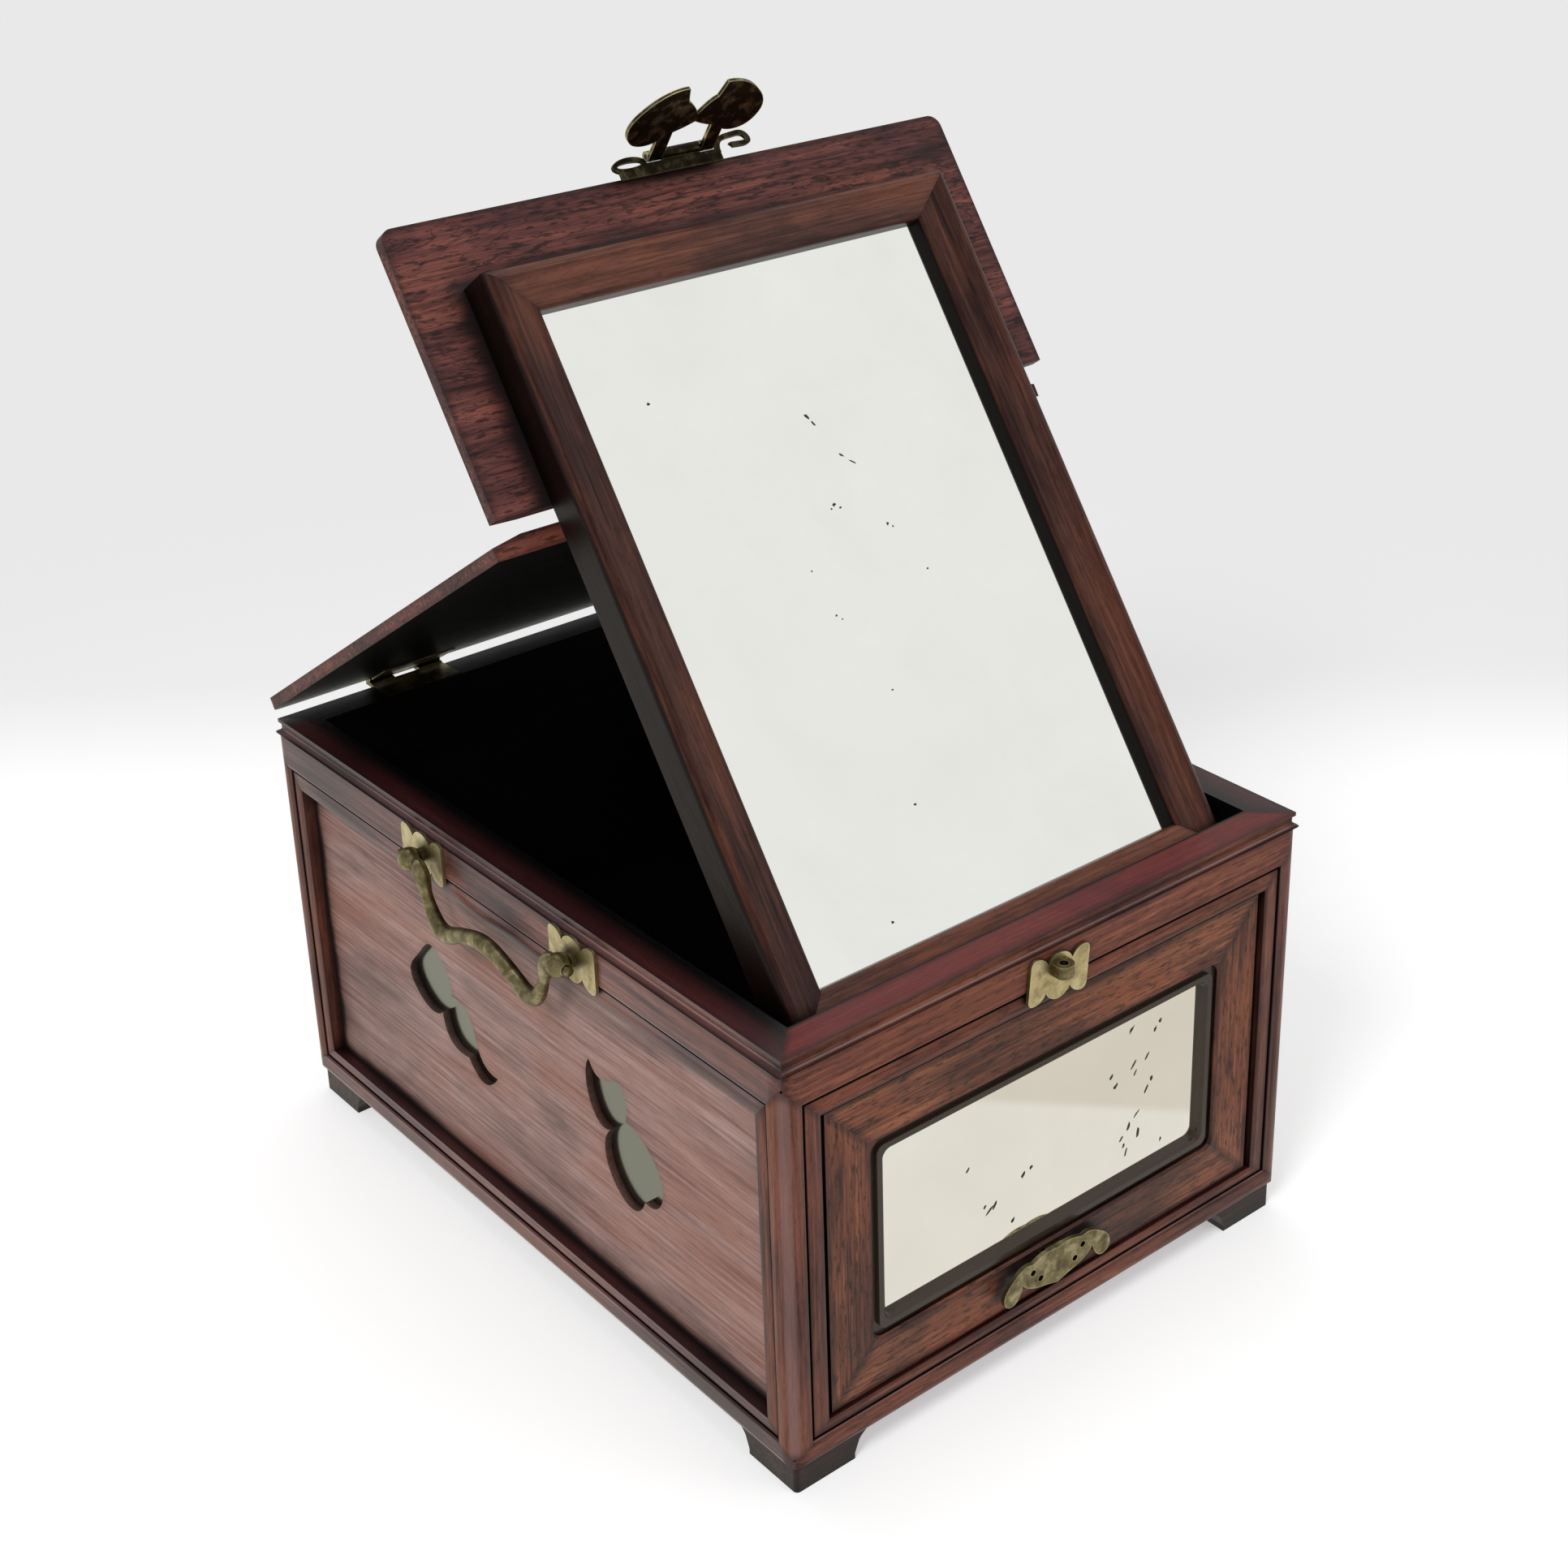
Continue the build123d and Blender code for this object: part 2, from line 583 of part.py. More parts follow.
with BuildPart() as staple:
    with BuildSketch(Plane.XY.offset(STAPLE_Z - STAPLE_H / 2)):
        with Locations((STAPLE_X, -(FACE_Y + (PLATE_T + STAPLE_OUT) / 2))):
            Rectangle(STAPLE_W, STAPLE_OUT - PLATE_T)
        fillet(vertices().group_by(Axis.Y)[0], STAPLE_TIP_R)
    extrude(amount=STAPLE_H)
    front_edges = edges().filter_by(lambda e: e.center().Y < -(FACE_Y + STAPLE_OUT - STAPLE_TIP_R))
    fillet(front_edges.group_by(Axis.Z)[0], STAPLE_EDGE_R)
    with BuildSketch(Plane.XY.offset(STAPLE_Z - STAPLE_H / 2)):
        with Locations((STAPLE_X, -(FACE_Y + STAPLE_OUT - STAPLE_EYE_IN))):
            Circle(STAPLE_EYE_R)
    extrude(amount=STAPLE_H, mode=Mode.SUBTRACT)
save(staple.part, "staple")

with BuildPart() as handle_plates:
    for _, sx in SIDES:
        for sy in (-1, 1):
            seat = Plane(origin=(sx * FACE_X, sy * HANDLE_Y, HANDLE_Z), x_dir=(0, 1, 0), z_dir=(sx, 0, 0))
            with BuildSketch(seat):
                lobed_plate()
            extrude(amount=PLATE_T)
save(handle_plates.part, "handle_plates")

with BuildPart() as handle_posts:
    for _, sx in SIDES:
        for sy in (-1, 1):
            with BuildSketch(Plane.YZ.offset(sx * (FACE_X + PLATE_T))):
                with Locations((sy * HANDLE_Y, HANDLE_Z)):
                    Circle(HANDLE_STEM_R)
            extrude(amount=sx * (HANDLE_OUT - PLATE_T))
            with Locations((sx * (FACE_X + HANDLE_OUT), sy * HANDLE_Y, HANDLE_Z)):
                Sphere(HANDLE_BALL_R)
        with BuildSketch(Plane.XZ):
            with Locations((sx * (FACE_X + HANDLE_OUT), HANDLE_Z)):
                Circle(BAIL_END_R + PIN_CLEAR)
        extrude(amount=2 * HANDLE_Y, both=True, mode=Mode.SUBTRACT)
save(handle_posts.part, "handle_posts")

for side, sx in SIDES:
    axis_x = sx * (FACE_X + HANDLE_OUT)
    start_y = BAIL_POINTS[0][0]
    near = [(axis_x, y, HANDLE_Z + z) for y, z in BAIL_POINTS]
    far = [(axis_x, -y, z) for _, y, z in reversed(near[:-1])]
    with BuildPart() as bail:
        with BuildLine():
            Spline(*near, *far, tangents=((0, -1, 0), (0, -1, 0)))
        with BuildSketch(Plane(origin=near[0], z_dir=(0, -1, 0))):
            Circle(BAIL_R)
        sweep()
        for sy in (-1, 1):
            with BuildSketch(Plane(origin=(axis_x, sy * start_y, HANDLE_Z), z_dir=(0, sy, 0))):
                Circle(BAIL_END_R)
            extrude(amount=HANDLE_Y + BAIL_END_OUT - start_y)
    save(bail.part, f"bail_{side}")


# Lid ----------------------------------------------------------------------------------

def turned(point, about, degrees):
    """A (y, z) point turned about another so that what lies in front goes up."""
    c, s = math.cos(math.radians(degrees)), math.sin(math.radians(degrees))
    y, z = point[0] - about[0], point[1] - about[1]
    return (about[0] + c * y + s * z, about[1] - s * y + c * z)


class LeafFrame:
    """Planes of a lid leaf: along it from the hinge (s) and below its underside (n)."""

    def __init__(self, origin, degrees):
        c, s = math.cos(math.radians(degrees)), math.sin(math.radians(degrees))
        self.origin = Vector(0, *origin)
        self.degrees = degrees
        self.along = Vector(0, -c, s)
        self.down = Vector(0, -s, -c)

    def point(self, s, n):
        return self.origin + self.along * s + self.down * n

    def plan(self, n=0.0):
        """Local (x, s), facing down from the underside."""
        return Plane(origin=self.point(0, n), x_dir=X_AXIS, z_dir=self.down)

    def profile(self, x=0.0):
        """Local (s, n), facing +X."""
        return Plane(origin=self.point(0, 0) + Vector(x, 0, 0), x_dir=self.along, z_dir=X_AXIS)

    def section(self, s=0.0):
        """Local (x, n), facing back along the leaf."""
        return Plane(origin=self.point(s, 0), x_dir=X_AXIS, z_dir=self.along * -1)


FRONT_UNDER_Z = CASE_H + LID_GAP
REAR_UNDER_Z = FRONT_UNDER_Z + REAR_LEAF_LIFT
REAR_T = LID_T - REAR_LEAF_LIFT
REAR_LEAF_L = 2 * FACE_Y - FRONT_LEAF_L - LEAF_GAP
REAR_FRONT_Y = FACE_Y - REAR_LEAF_L
FOLD_CLOSED = (REAR_FRONT_Y + FOLD_AXIS_IN, FRONT_UNDER_Z + LID_T + FOLD_AXIS_UP)
FOLD_AXIS = turned(FOLD_CLOSED, BACK_AXIS, LID_ANGLE)
FRONT_ORIGIN = turned((REAR_FRONT_Y - LEAF_GAP, FRONT_UNDER_Z), FOLD_CLOSED, FOLD_ANGLE)

rear = LeafFrame(turned((FACE_Y, REAR_UNDER_Z), BACK_AXIS, LID_ANGLE), LID_ANGLE)
front = LeafFrame(turned(FRONT_ORIGIN, BACK_AXIS, LID_ANGLE), LID_ANGLE + FOLD_ANGLE)
# The hinges' own frames: s from the axis along the leaf, n below the axis
back_knuckles = LeafFrame(BACK_AXIS, LID_ANGLE)
case_knuckles = LeafFrame(BACK_AXIS, 0)
fold_rear = LeafFrame(FOLD_AXIS, LID_ANGLE)
fold_front = LeafFrame(FOLD_AXIS, LID_ANGLE + FOLD_ANGLE)


def leaf_blank(frame, length, thick, rim_at_end, rim_at_start):
    """A leaf whose outer face slopes down to a thin rim."""
    half = LID_W / 2
    slope = thick - LID_EDGE_T
    with BuildPart() as blank:
        with BuildSketch(frame.plan()):
            with Locations((0, length / 2)):
                Rectangle(LID_W, length)
            corners = vertices().group_by(Axis.Y)
            if rim_at_end:
                fillet(corners[-1], LID_CORNER_R)
            if rim_at_start:
                fillet(vertices().group_by(Axis.Y)[0], LID_CORNER_R)
        extrude(amount=-thick)
        start = [(0, -thick + slope), (LID_BEVEL, -thick)] if rim_at_start else [(0, -thick)]
        end = [(length - LID_BEVEL, -thick), (length, -thick + slope)] if rim_at_end else [(length, -thick)]
        with BuildSketch(frame.profile()):
            with BuildLine():
                Polyline((0, 0), *start, *end, (length, 0), close=True)
            make_face()
        extrude(amount=half, both=True, mode=Mode.INTERSECT)
        with BuildSketch(frame.section()):
            with BuildLine():
                Polyline(
                    (-half, 0),
                    (-half, -thick + slope),
                    (-half + LID_BEVEL, -thick),
                    (half - LID_BEVEL, -thick),
                    (half, -thick + slope),
                    (half, 0),
                    close=True,
                )
            make_face()
        extrude(amount=-length, mode=Mode.INTERSECT)
    return blank.part


def knuckles(own):
    """Ends of a leaf's knuckles, from the middle of the hinge; own is 0 for the outer two."""
    third = HINGE_W / KNUCKLE_SHARE
    if own:
        return [(-third / 2, third / 2)]
    return [(-HINGE_W / 2, -third / 2 - KNUCKLE_GAP), (third / 2 + KNUCKLE_GAP, HINGE_W / 2)]


def hinge_leaves(frame, away, plate, web, radius, own):
    """Both hinges' leaves: a plate, its knuckles and the webs between them.

    away is 1 where the plate runs along the leaf from the axis and -1 where it runs
    back; plate is (from, to, above, below) and web the same, measured from the axis.
    """
    third = HINGE_W / KNUCKLE_SHARE
    with BuildPart() as leaves:
        for x in (-HINGE_X, HINGE_X):
            with BuildSketch(frame.profile(x - HINGE_W / 2)) as sketch:
                box_points(away, plate)
            extrude(sketch.sketch, amount=HINGE_W)
            for low, high in knuckles(own):
                with BuildSketch(frame.profile(x + low)) as sketch:
                    box_points(away, web)
                    Circle(radius)
                extrude(sketch.sketch, amount=high - low)
            with BuildSketch(frame.profile(x - HINGE_W / 2)) as sketch:
                Circle(HINGE_PIN_R + PIN_CLEAR)
            extrude(sketch.sketch, amount=HINGE_W, mode=Mode.SUBTRACT)
    return leaves.part


def box_points(away, sizes):
    near, far, above, below = sizes
    with Locations((away * (near + far) / 2, (above + below) / 2)):
        Rectangle(far - near, below - above)


with BuildPart() as rear_leaf:
    add(leaf_blank(rear, REAR_LEAF_L, REAR_T, False, True))
    for x in (-HINGE_X, HINGE_X):
        with BuildSketch(rear.plan()):
            with Locations((x, (HINGE_LEAF_L - BACK_AXIS_OUT) / 2)):
                Rectangle(HINGE_W, HINGE_LEAF_L - BACK_AXIS_OUT)
        extrude(amount=-HINGE_SEAT, mode=Mode.SUBTRACT)
save(rear_leaf.part, "lid_rear_leaf")

with BuildPart() as front_leaf:
    add(leaf_blank(front, FRONT_LEAF_L, LID_T, True, False))
    with BuildSketch(front.plan(-HASP_SEAT)):
        with Locations((0, FRONT_LEAF_L)):
            Rectangle(2 * HASP_BASE_HALF_W, 2 * HASP_BASE_L)
    extrude(amount=-LID_T, mode=Mode.SUBTRACT)
save(front_leaf.part, "lid_front_leaf")

seat_above = BACK_AXIS_UP - LID_GAP - REAR_LEAF_LIFT - HINGE_SEAT
case_plate = (BACK_AXIS_OUT - LEAF_OVERHANG, HINGE_LEAF_L, -CASE_LEAF_LOW - HINGE_LEAF_T, -CASE_LEAF_LOW)
case_web = (-KNUCKLE_WEB_IN, BACK_AXIS_OUT - RUN_CLEAR, BACK_KNUCKLE_R - LEAF_OVERHANG, -CASE_LEAF_LOW)
save(hinge_leaves(case_knuckles, 1, case_plate, case_web, BACK_KNUCKLE_R, 0), "hinge_leaves_case")
lid_plate = (BACK_AXIS_OUT, HINGE_LEAF_L, seat_above, seat_above + HINGE_LEAF_T)
lid_web = (0.0, BACK_AXIS_OUT, seat_above, seat_above + HINGE_LEAF_T)
save(hinge_leaves(back_knuckles, 1, lid_plate, lid_web, BACK_KNUCKLE_R, 1), "hinge_leaves_lid")

rear_plate = (FOLD_KNUCKLE_R + RUN_CLEAR, HINGE_LEAF_L, FOLD_AXIS_UP - HINGE_LEAF_T, FOLD_AXIS_UP)
rear_web = (0.0, FOLD_KNUCKLE_R + RUN_CLEAR, FOLD_AXIS_UP - HINGE_LEAF_T, FOLD_AXIS_UP)
save(hinge_leaves(fold_rear, -1, rear_plate, rear_web, FOLD_KNUCKLE_R, 0), "fold_hinge_leaves_rear")
fold_reach = FOLD_AXIS_IN + LEAF_GAP
front_plate = (fold_reach, HINGE_LEAF_L, FOLD_AXIS_UP - HINGE_LEAF_T, FOLD_AXIS_UP)
front_web = (0.0, fold_reach, FOLD_AXIS_UP - HINGE_LEAF_T, FOLD_AXIS_UP - RUN_CLEAR)
save(hinge_leaves(fold_front, 1, front_plate, front_web, FOLD_KNUCKLE_R, 1), "fold_hinge_leaves_front")

with BuildPart() as hinge_pins:
    for frame in (back_knuckles, fold_rear):
        for x in (-HINGE_X, HINGE_X):
            with BuildSketch(frame.profile(x - HINGE_W / 2)):
                Circle(HINGE_PIN_R)
            extrude(amount=HINGE_W)
save(hinge_pins.part, "hinge_pins")


# Mirror under the front leaf ------------------------------------------------------------

# The front of the foot's rounded arris stays clear of the front rail
foot_arris_y = -INNER_Y + MIRROR_FOOT_GAP + MIRROR_ARRIS_R
foot_slope = front.down.Y * (MIRROR_DEPTH - MIRROR_ARRIS_R)
MIRROR_FOOT_S = (foot_arris_y - front.origin.Y - foot_slope) / front.along.Y - MIRROR_ARRIS_R
MIRROR_HALF_W = MIRROR_W / 2
MIRROR_LEN = MIRROR_TOP_S - MIRROR_FOOT_S
MIRROR_MIDDLE_S = (MIRROR_TOP_S + MIRROR_FOOT_S) / 2
GLASS_N = MIRROR_DEPTH - MIRROR_GLASS_DROP


def mirror_section(place, width):
    """Rounded outer arris, a slope, a small inner bead and the rebate for the glass."""
    bead = width - MIRROR_BEAD_W
    corner = MIRROR_ARRIS_R * (1 - math.sqrt(0.5))
    with BuildLine() as outline:
        Line(place(0, 0), place(0, MIRROR_DEPTH - MIRROR_ARRIS_R))
        ThreePointArc(
            place(0, MIRROR_DEPTH - MIRROR_ARRIS_R),
            place(corner, MIRROR_DEPTH - corner),
            place(MIRROR_ARRIS_R, MIRROR_DEPTH),
        )
        ThreePointArc(
            place(MIRROR_ARRIS_R, MIRROR_DEPTH),
            place((MIRROR_ARRIS_R + bead) / 2, MIRROR_DEPTH - MIRROR_SAG),
            place(bead, MIRROR_DEPTH - MIRROR_BEAD_DROP),
        )
        ThreePointArc(
            place(bead, MIRROR_DEPTH - MIRROR_BEAD_DROP),
            place(width - MIRROR_BEAD_W / 3, MIRROR_DEPTH - MIRROR_BEAD_DROP - MIRROR_BEAD_W / 4),
            place(width, MIRROR_DEPTH - MIRROR_BEAD_DROP - MIRROR_BEAD_W),
        )
        Polyline(
            place(width, MIRROR_DEPTH - MIRROR_BEAD_DROP - MIRROR_BEAD_W),
            place(width, GLASS_N),
            place(width - MIRROR_LAP, GLASS_N),
            place(width - MIRROR_LAP, 0),
            place(0, 0),
        )
    make_face(outline.edges())


def mirror_mitre(sx, end):
    """Plane at a corner of the mirror frame; its +Z side is the side member's."""
    s = MIRROR_TOP_S if end > 0 else MIRROR_FOOT_S
    across = front.along * (MIRROR_SIDE_W * -end) + Vector(sx * MIRROR_END_W, 0, 0)
    return Plane(origin=front.point(s, 0) + Vector(sx * MIRROR_HALF_W, 0, 0), z_dir=across)


for side, sx in SIDES:
    with BuildPart() as member:
        with BuildSketch(front.section(MIRROR_MIDDLE_S)):
            mirror_section(lambda w, n: (sx * (MIRROR_HALF_W - w), n), MIRROR_SIDE_W)
        extrude(amount=MIRROR_LEN / 2, both=True)
        for end in (-1, 1):
            split(bisect_by=mirror_mitre(sx, end), keep=Keep.TOP)
    save(member.part, f"mirror_frame_{side}")

for name, end, s in (("top", 1, MIRROR_TOP_S), ("foot", -1, MIRROR_FOOT_S)):
    with BuildPart() as member:
        with BuildSketch(front.profile()):
            mirror_section(lambda w, n: (s - end * w, n), MIRROR_END_W)
        extrude(amount=MIRROR_HALF_W, both=True)
        for _, sx in SIDES:
            split(bisect_by=mirror_mitre(sx, end), keep=Keep.BOTTOM)
    save(member.part, f"mirror_frame_{name}")


def mirror_sheet(n, thick):
    lap = MIRROR_LAP - MIRROR_PLAY
    with BuildPart() as sheet:
        with BuildSketch(front.plan(n)):
            with Locations((0, MIRROR_MIDDLE_S)):
                Rectangle(
                    MIRROR_W - 2 * (MIRROR_SIDE_W - lap),
                    MIRROR_LEN - 2 * (MIRROR_END_W - lap),
                )
        extrude(amount=-thick)
    return sheet.part


save(mirror_sheet(GLASS_N, MIRROR_GLASS_T), "mirror_glass")
save(mirror_sheet(GLASS_N - MIRROR_GLASS_T, BACKBOARD_T), "mirror_backboard")


# Hasp -------------------------------------------------------------------------------------

HASP_AXIS = front.point(FRONT_LEAF_L + HASP_REACH, HASP_RISE)
hasp_frame = LeafFrame((HASP_AXIS.Y, HASP_AXIS.Z), LID_ANGLE + FOLD_ANGLE - HASP_ANGLE)
hasp_axis_frame = LeafFrame((HASP_AXIS.Y, HASP_AXIS.Z), LID_ANGLE + FOLD_ANGLE)
HASP_ARM_HALF = HASP_LEG_IN - KNUCKLE_GAP

with BuildPart() as hasp_base:
    with BuildSketch(front.plan(-HASP_SEAT - HASP_BASE_T)):
        with Locations((0, FRONT_LEAF_L + HASP_BASE_T - HASP_BASE_L / 2)):
            Rectangle(2 * HASP_BASE_HALF_W, HASP_BASE_L)
    extrude(amount=HASP_BASE_T)
    with BuildSketch(front.plan(-HASP_SEAT - HASP_BASE_T)):
        with Locations((0, FRONT_LEAF_L + HASP_BASE_T / 2)):
            Rectangle(2 * HASP_BASE_HALF_W, HASP_BASE_T)
    extrude(amount=HASP_SEAT + HASP_BASE_T + HASP_BASE_FOOT)
    with BuildSketch(front.plan(HASP_BASE_FOOT - HASP_BASE_T)):
        with Locations((0, FRONT_LEAF_L + HASP_REACH / 2)):
            Rectangle(2 * HASP_ARM_HALF, HASP_REACH)
        strip_top = HASP_REACH - HASP_KNUCKLE_R - STRIP_CLEAR
        strip_middle = (STRIP_LEFT + STRIP_RIGHT) / 2, FRONT_LEAF_L + (strip_top - STRIP_OVER) / 2
        with Locations(strip_middle):
            Rectangle(STRIP_RIGHT - STRIP_LEFT, strip_top + STRIP_OVER)
        with Locations((SCROLL_X, FRONT_LEAF_L + SCROLL_S)):
            Ellipse(SCROLL_A, SCROLL_B)
            Ellipse(SCROLL_A - SCROLL_T, SCROLL_B - SCROLL_T, mode=Mode.SUBTRACT)
        with BuildLine():
            Spline(*[(x, FRONT_LEAF_L + s) for x, s in SCROLL_HOOK])
        trace(line_width=SCROLL_T)
    extrude(amount=HASP_BASE_T)
    with BuildSketch(hasp_axis_frame.profile()):
        Circle(HASP_KNUCKLE_R)
    extrude(amount=HASP_ARM_HALF, both=True)
    with BuildSketch(hasp_axis_frame.profile()):
        Circle(HINGE_PIN_R + PIN_CLEAR)
    extrude(amount=HASP_LEG_IN, both=True, mode=Mode.SUBTRACT)
save(hasp_base.part, "hasp_base")

with BuildPart() as hasp_pin:
    with BuildSketch(hasp_axis_frame.profile()):
        Circle(HINGE_PIN_R)
    extrude(amount=HASP_LEG_OUT, both=True)
save(hasp_pin.part, "hasp_pin")

with BuildPart() as hasp_plate:
    with BuildSketch(hasp_frame.plan(HASP_KNUCKLE_R - HASP_T)):
        with BuildLine():
            for sx in (1, -1):
                for run in (HASP_ARCH, HASP_LOBE, HASP_NOTCH):
                    Spline(*[(sx * x, s) for x, s in run])
                Polyline(*[(sx * x, s) for x, s in HASP_HOOK])
                legs = (HASP_ARCH[-1], (HASP_LEG_IN, 0), (HASP_LEG_OUT, 0), HASP_LOBE[0])
                Polyline(*[(sx * x, s) for x, s in legs])
        make_face()
    extrude(amount=HASP_T)
    for sx in (-1, 1):
        with BuildSketch(hasp_frame.profile(sx * (HASP_LEG_IN + HASP_LEG_OUT) / 2)):
            Circle(HASP_KNUCKLE_R)
        extrude(amount=(HASP_LEG_OUT - HASP_LEG_IN) / 2, both=True)
    with BuildSketch(hasp_frame.profile()):
        Circle(HINGE_PIN_R + PIN_CLEAR)
    extrude(amount=2 * HASP_LEG_OUT, both=True, mode=Mode.SUBTRACT)
save(hasp_plate.part, "hasp_plate")


# Drawer -------------------------------------------------------------------------------------

WINDOW_HALF_W = DRAWER_HALF_W - STILE_W
WINDOW_LOW = DRAWER_LOW + LOW_MEMBER_W
WINDOW_TOP = DRAWER_TOP - TOP_MEMBER_W
WINDOW_Z = (WINDOW_LOW + WINDOW_TOP) / 2
WINDOW_H = WINDOW_TOP - WINDOW_LOW
DRAWER_Z = (DRAWER_LOW + DRAWER_TOP) / 2
DRAWER_H = DRAWER_TOP - DRAWER_LOW
DRAWER_GLASS_Y = DRAWER_FACE_Y + DRAWER_GLASS_IN

with BuildPart() as drawer_frame:
    with BuildSketch(Plane.XZ.offset(-DRAWER_FACE_Y)):
        with Locations((0, DRAWER_Z)):
            Rectangle(2 * DRAWER_HALF_W, DRAWER_H)
        with Locations((0, WINDOW_Z)):
            RectangleRounded(2 * WINDOW_HALF_W, WINDOW_H, WINDOW_R, mode=Mode.SUBTRACT)
    extrude(amount=-DRAWER_FRONT_T)
    with BuildSketch(Plane.XZ.offset(-DRAWER_GLASS_Y)):
        with Locations((0, WINDOW_Z)):
            Rectangle(2 * (WINDOW_HALF_W + DRAWER_LAP), WINDOW_H + 2 * DRAWER_LAP)
    extrude(amount=-DRAWER_FRONT_T, mode=Mode.SUBTRACT)
    face_edges = edges().filter_by_position(Axis.Y, DRAWER_FACE_Y, DRAWER_FACE_Y)
    near_window = face_edges.filter_by(
        lambda e: abs(e.center().X) < WINDOW_HALF_W + WINDOW_EDGE
        and abs(e.center().Z - WINDOW_Z) < WINDOW_H / 2 + WINDOW_EDGE
    )
    chamfer(near_window, WINDOW_EDGE)


def drawer_mitre(sx, end):
    """Plane at a corner of the drawer's frame; its +Z side is the stile's."""
    member = TOP_MEMBER_W if end > 0 else LOW_MEMBER_W
    level = DRAWER_TOP if end > 0 else DRAWER_LOW
    return Plane(origin=(sx * DRAWER_HALF_W, 0, level), z_dir=(sx * member, 0, -end * STILE_W))


for side, sx in SIDES:
    with BuildPart() as stile:
        add(drawer_frame.part)
        for end in (-1, 1):
            split(bisect_by=drawer_mitre(sx, end), keep=Keep.TOP)
        split(bisect_by=Plane(origin=(0, 0, 0), z_dir=(sx, 0, 0)), keep=Keep.TOP)
    save(stile.part, f"drawer_front_{side}")

for name, end in (("top", 1), ("bottom", -1)):
    with BuildPart() as member:
        add(drawer_frame.part)
        for _, sx in SIDES:
            split(bisect_by=drawer_mitre(sx, end), keep=Keep.BOTTOM)
        split(bisect_by=Plane(origin=(0, 0, WINDOW_Z), z_dir=(0, 0, end)), keep=Keep.TOP)
    save(member.part, f"drawer_front_{name}")

def window_ring(depth, outer, outer_r, inner, inner_r):
    """A ring round the window, between two distances in from the window's edge."""
    with BuildSketch(Plane.XZ.offset(-DRAWER_FACE_Y - depth)) as ring:
        with Locations((0, WINDOW_Z)):
            RectangleRounded(2 * (WINDOW_HALF_W - outer), WINDOW_H - 2 * outer, outer_r)
            RectangleRounded(
                2 * (WINDOW_HALF_W - inner), WINDOW_H - 2 * inner, inner_r, mode=Mode.SUBTRACT
            )
    return ring.sketch


with BuildPart() as drawer_liner:
    groove_ring = window_ring(LINER_GROOVE_IN, 0, WINDOW_R, LINER_W, LINER_INNER_R)
    extrude(groove_ring, amount=LINER_GROOVE_IN - DRAWER_GLASS_IN)
    bead_ring = window_ring(LINER_BEAD_IN, LINER_BEAD_FROM, LINER_BEAD_R, LINER_W, LINER_INNER_R)
    extrude(bead_ring, amount=LINER_BEAD_IN - LINER_GROOVE_IN)
    crest = faces().sort_by(Axis.Y)[0]
    chamfer(crest.inner_wires()[0].edges(), LINER_BEVEL)
save(drawer_liner.part, "drawer_liner")

for name, y, thick in (
    ("drawer_mirror", DRAWER_GLASS_Y, DRAWER_GLASS_T),
    ("drawer_backing", DRAWER_GLASS_Y + DRAWER_GLASS_T, DRAWER_FRONT_T - DRAWER_GLASS_IN - DRAWER_GLASS_T),
):
    with BuildPart() as sheet:
        with BuildSketch(Plane.XZ.offset(-y)):
            with Locations((0, WINDOW_Z)):
                Rectangle(
                    2 * (WINDOW_HALF_W + DRAWER_LAP - SLOT_PLAY),
                    WINDOW_H + 2 * (DRAWER_LAP - SLOT_PLAY),
                )
        extrude(amount=-thick)
    save(sheet.part, name)

for side, sx in SIDES:
    with BuildPart() as drawer_side:
        with BuildSketch(Plane.XY.offset(DRAWER_LOW)):
            middle_y = (DRAWER_FRONT_BACK_Y + DRAWER_BOX_BACK_Y) / 2
            with Locations((sx * (DRAWER_HALF_W - DRAWER_SIDE_T / 2), middle_y)):
                Rectangle(DRAWER_SIDE_T, DRAWER_BOX_BACK_Y - DRAWER_FRONT_BACK_Y)
        extrude(amount=DRAWER_BOX_H)
    save(drawer_side.part, f"drawer_side_{side}")

with BuildPart() as drawer_back:
    with BuildSketch(Plane.XY.offset(DRAWER_LOW)):
        with Locations((0, DRAWER_BOX_BACK_Y - DRAWER_SIDE_T / 2)):
            Rectangle(2 * (DRAWER_HALF_W - DRAWER_SIDE_T), DRAWER_SIDE_T)
    extrude(amount=DRAWER_BOX_H)
save(drawer_back.part, "drawer_back")

with BuildPart() as drawer_bottom:
    with BuildSketch(Plane.XY.offset(DRAWER_LOW + DRAWER_BOTTOM_UP)):
        with Locations((0, (DRAWER_FRONT_BACK_Y + DRAWER_BOX_BACK_Y - DRAWER_SIDE_T) / 2)):
            Rectangle(
                2 * (DRAWER_HALF_W - DRAWER_SIDE_T),
                DRAWER_BOX_BACK_Y - DRAWER_SIDE_T - DRAWER_FRONT_BACK_Y,
            )
    extrude(amount=DRAWER_BOTTOM_T)
save(drawer_bottom.part, "drawer_bottom")


# Bat-shaped pull: half its outline from the top middle round to the bottom tip, as
# (across, up) from the middle of its body; each run is smooth and they meet at notches
BAT_RUNS = (
    ((0.0, 6.0), (5.5, 6.2), (9.9, 4.9)),
    (
        (9.9, 4.9), (12.5, 5.3), (17.6, 2.9), (21.2, -1.5),
        (20.6, -4.8), (18.0, -5.8), (14.9, -3.0), (14.2, -0.4),
    ),
    ((14.2, -0.4), (8.9, -4.0), (4.2, -5.2), (1.4, -6.0), (0.0, -6.4)),
)
BAT_HOLES = ((10.0, 1.9), (6.9, -1.5))
pull_back_y = DRAWER_FACE_Y - PULL_OFF
rod_y, rod_z = pull_back_y + PULL_LUG_R - PULL_T / 2, PULL_Z + PULL_AXIS_UP

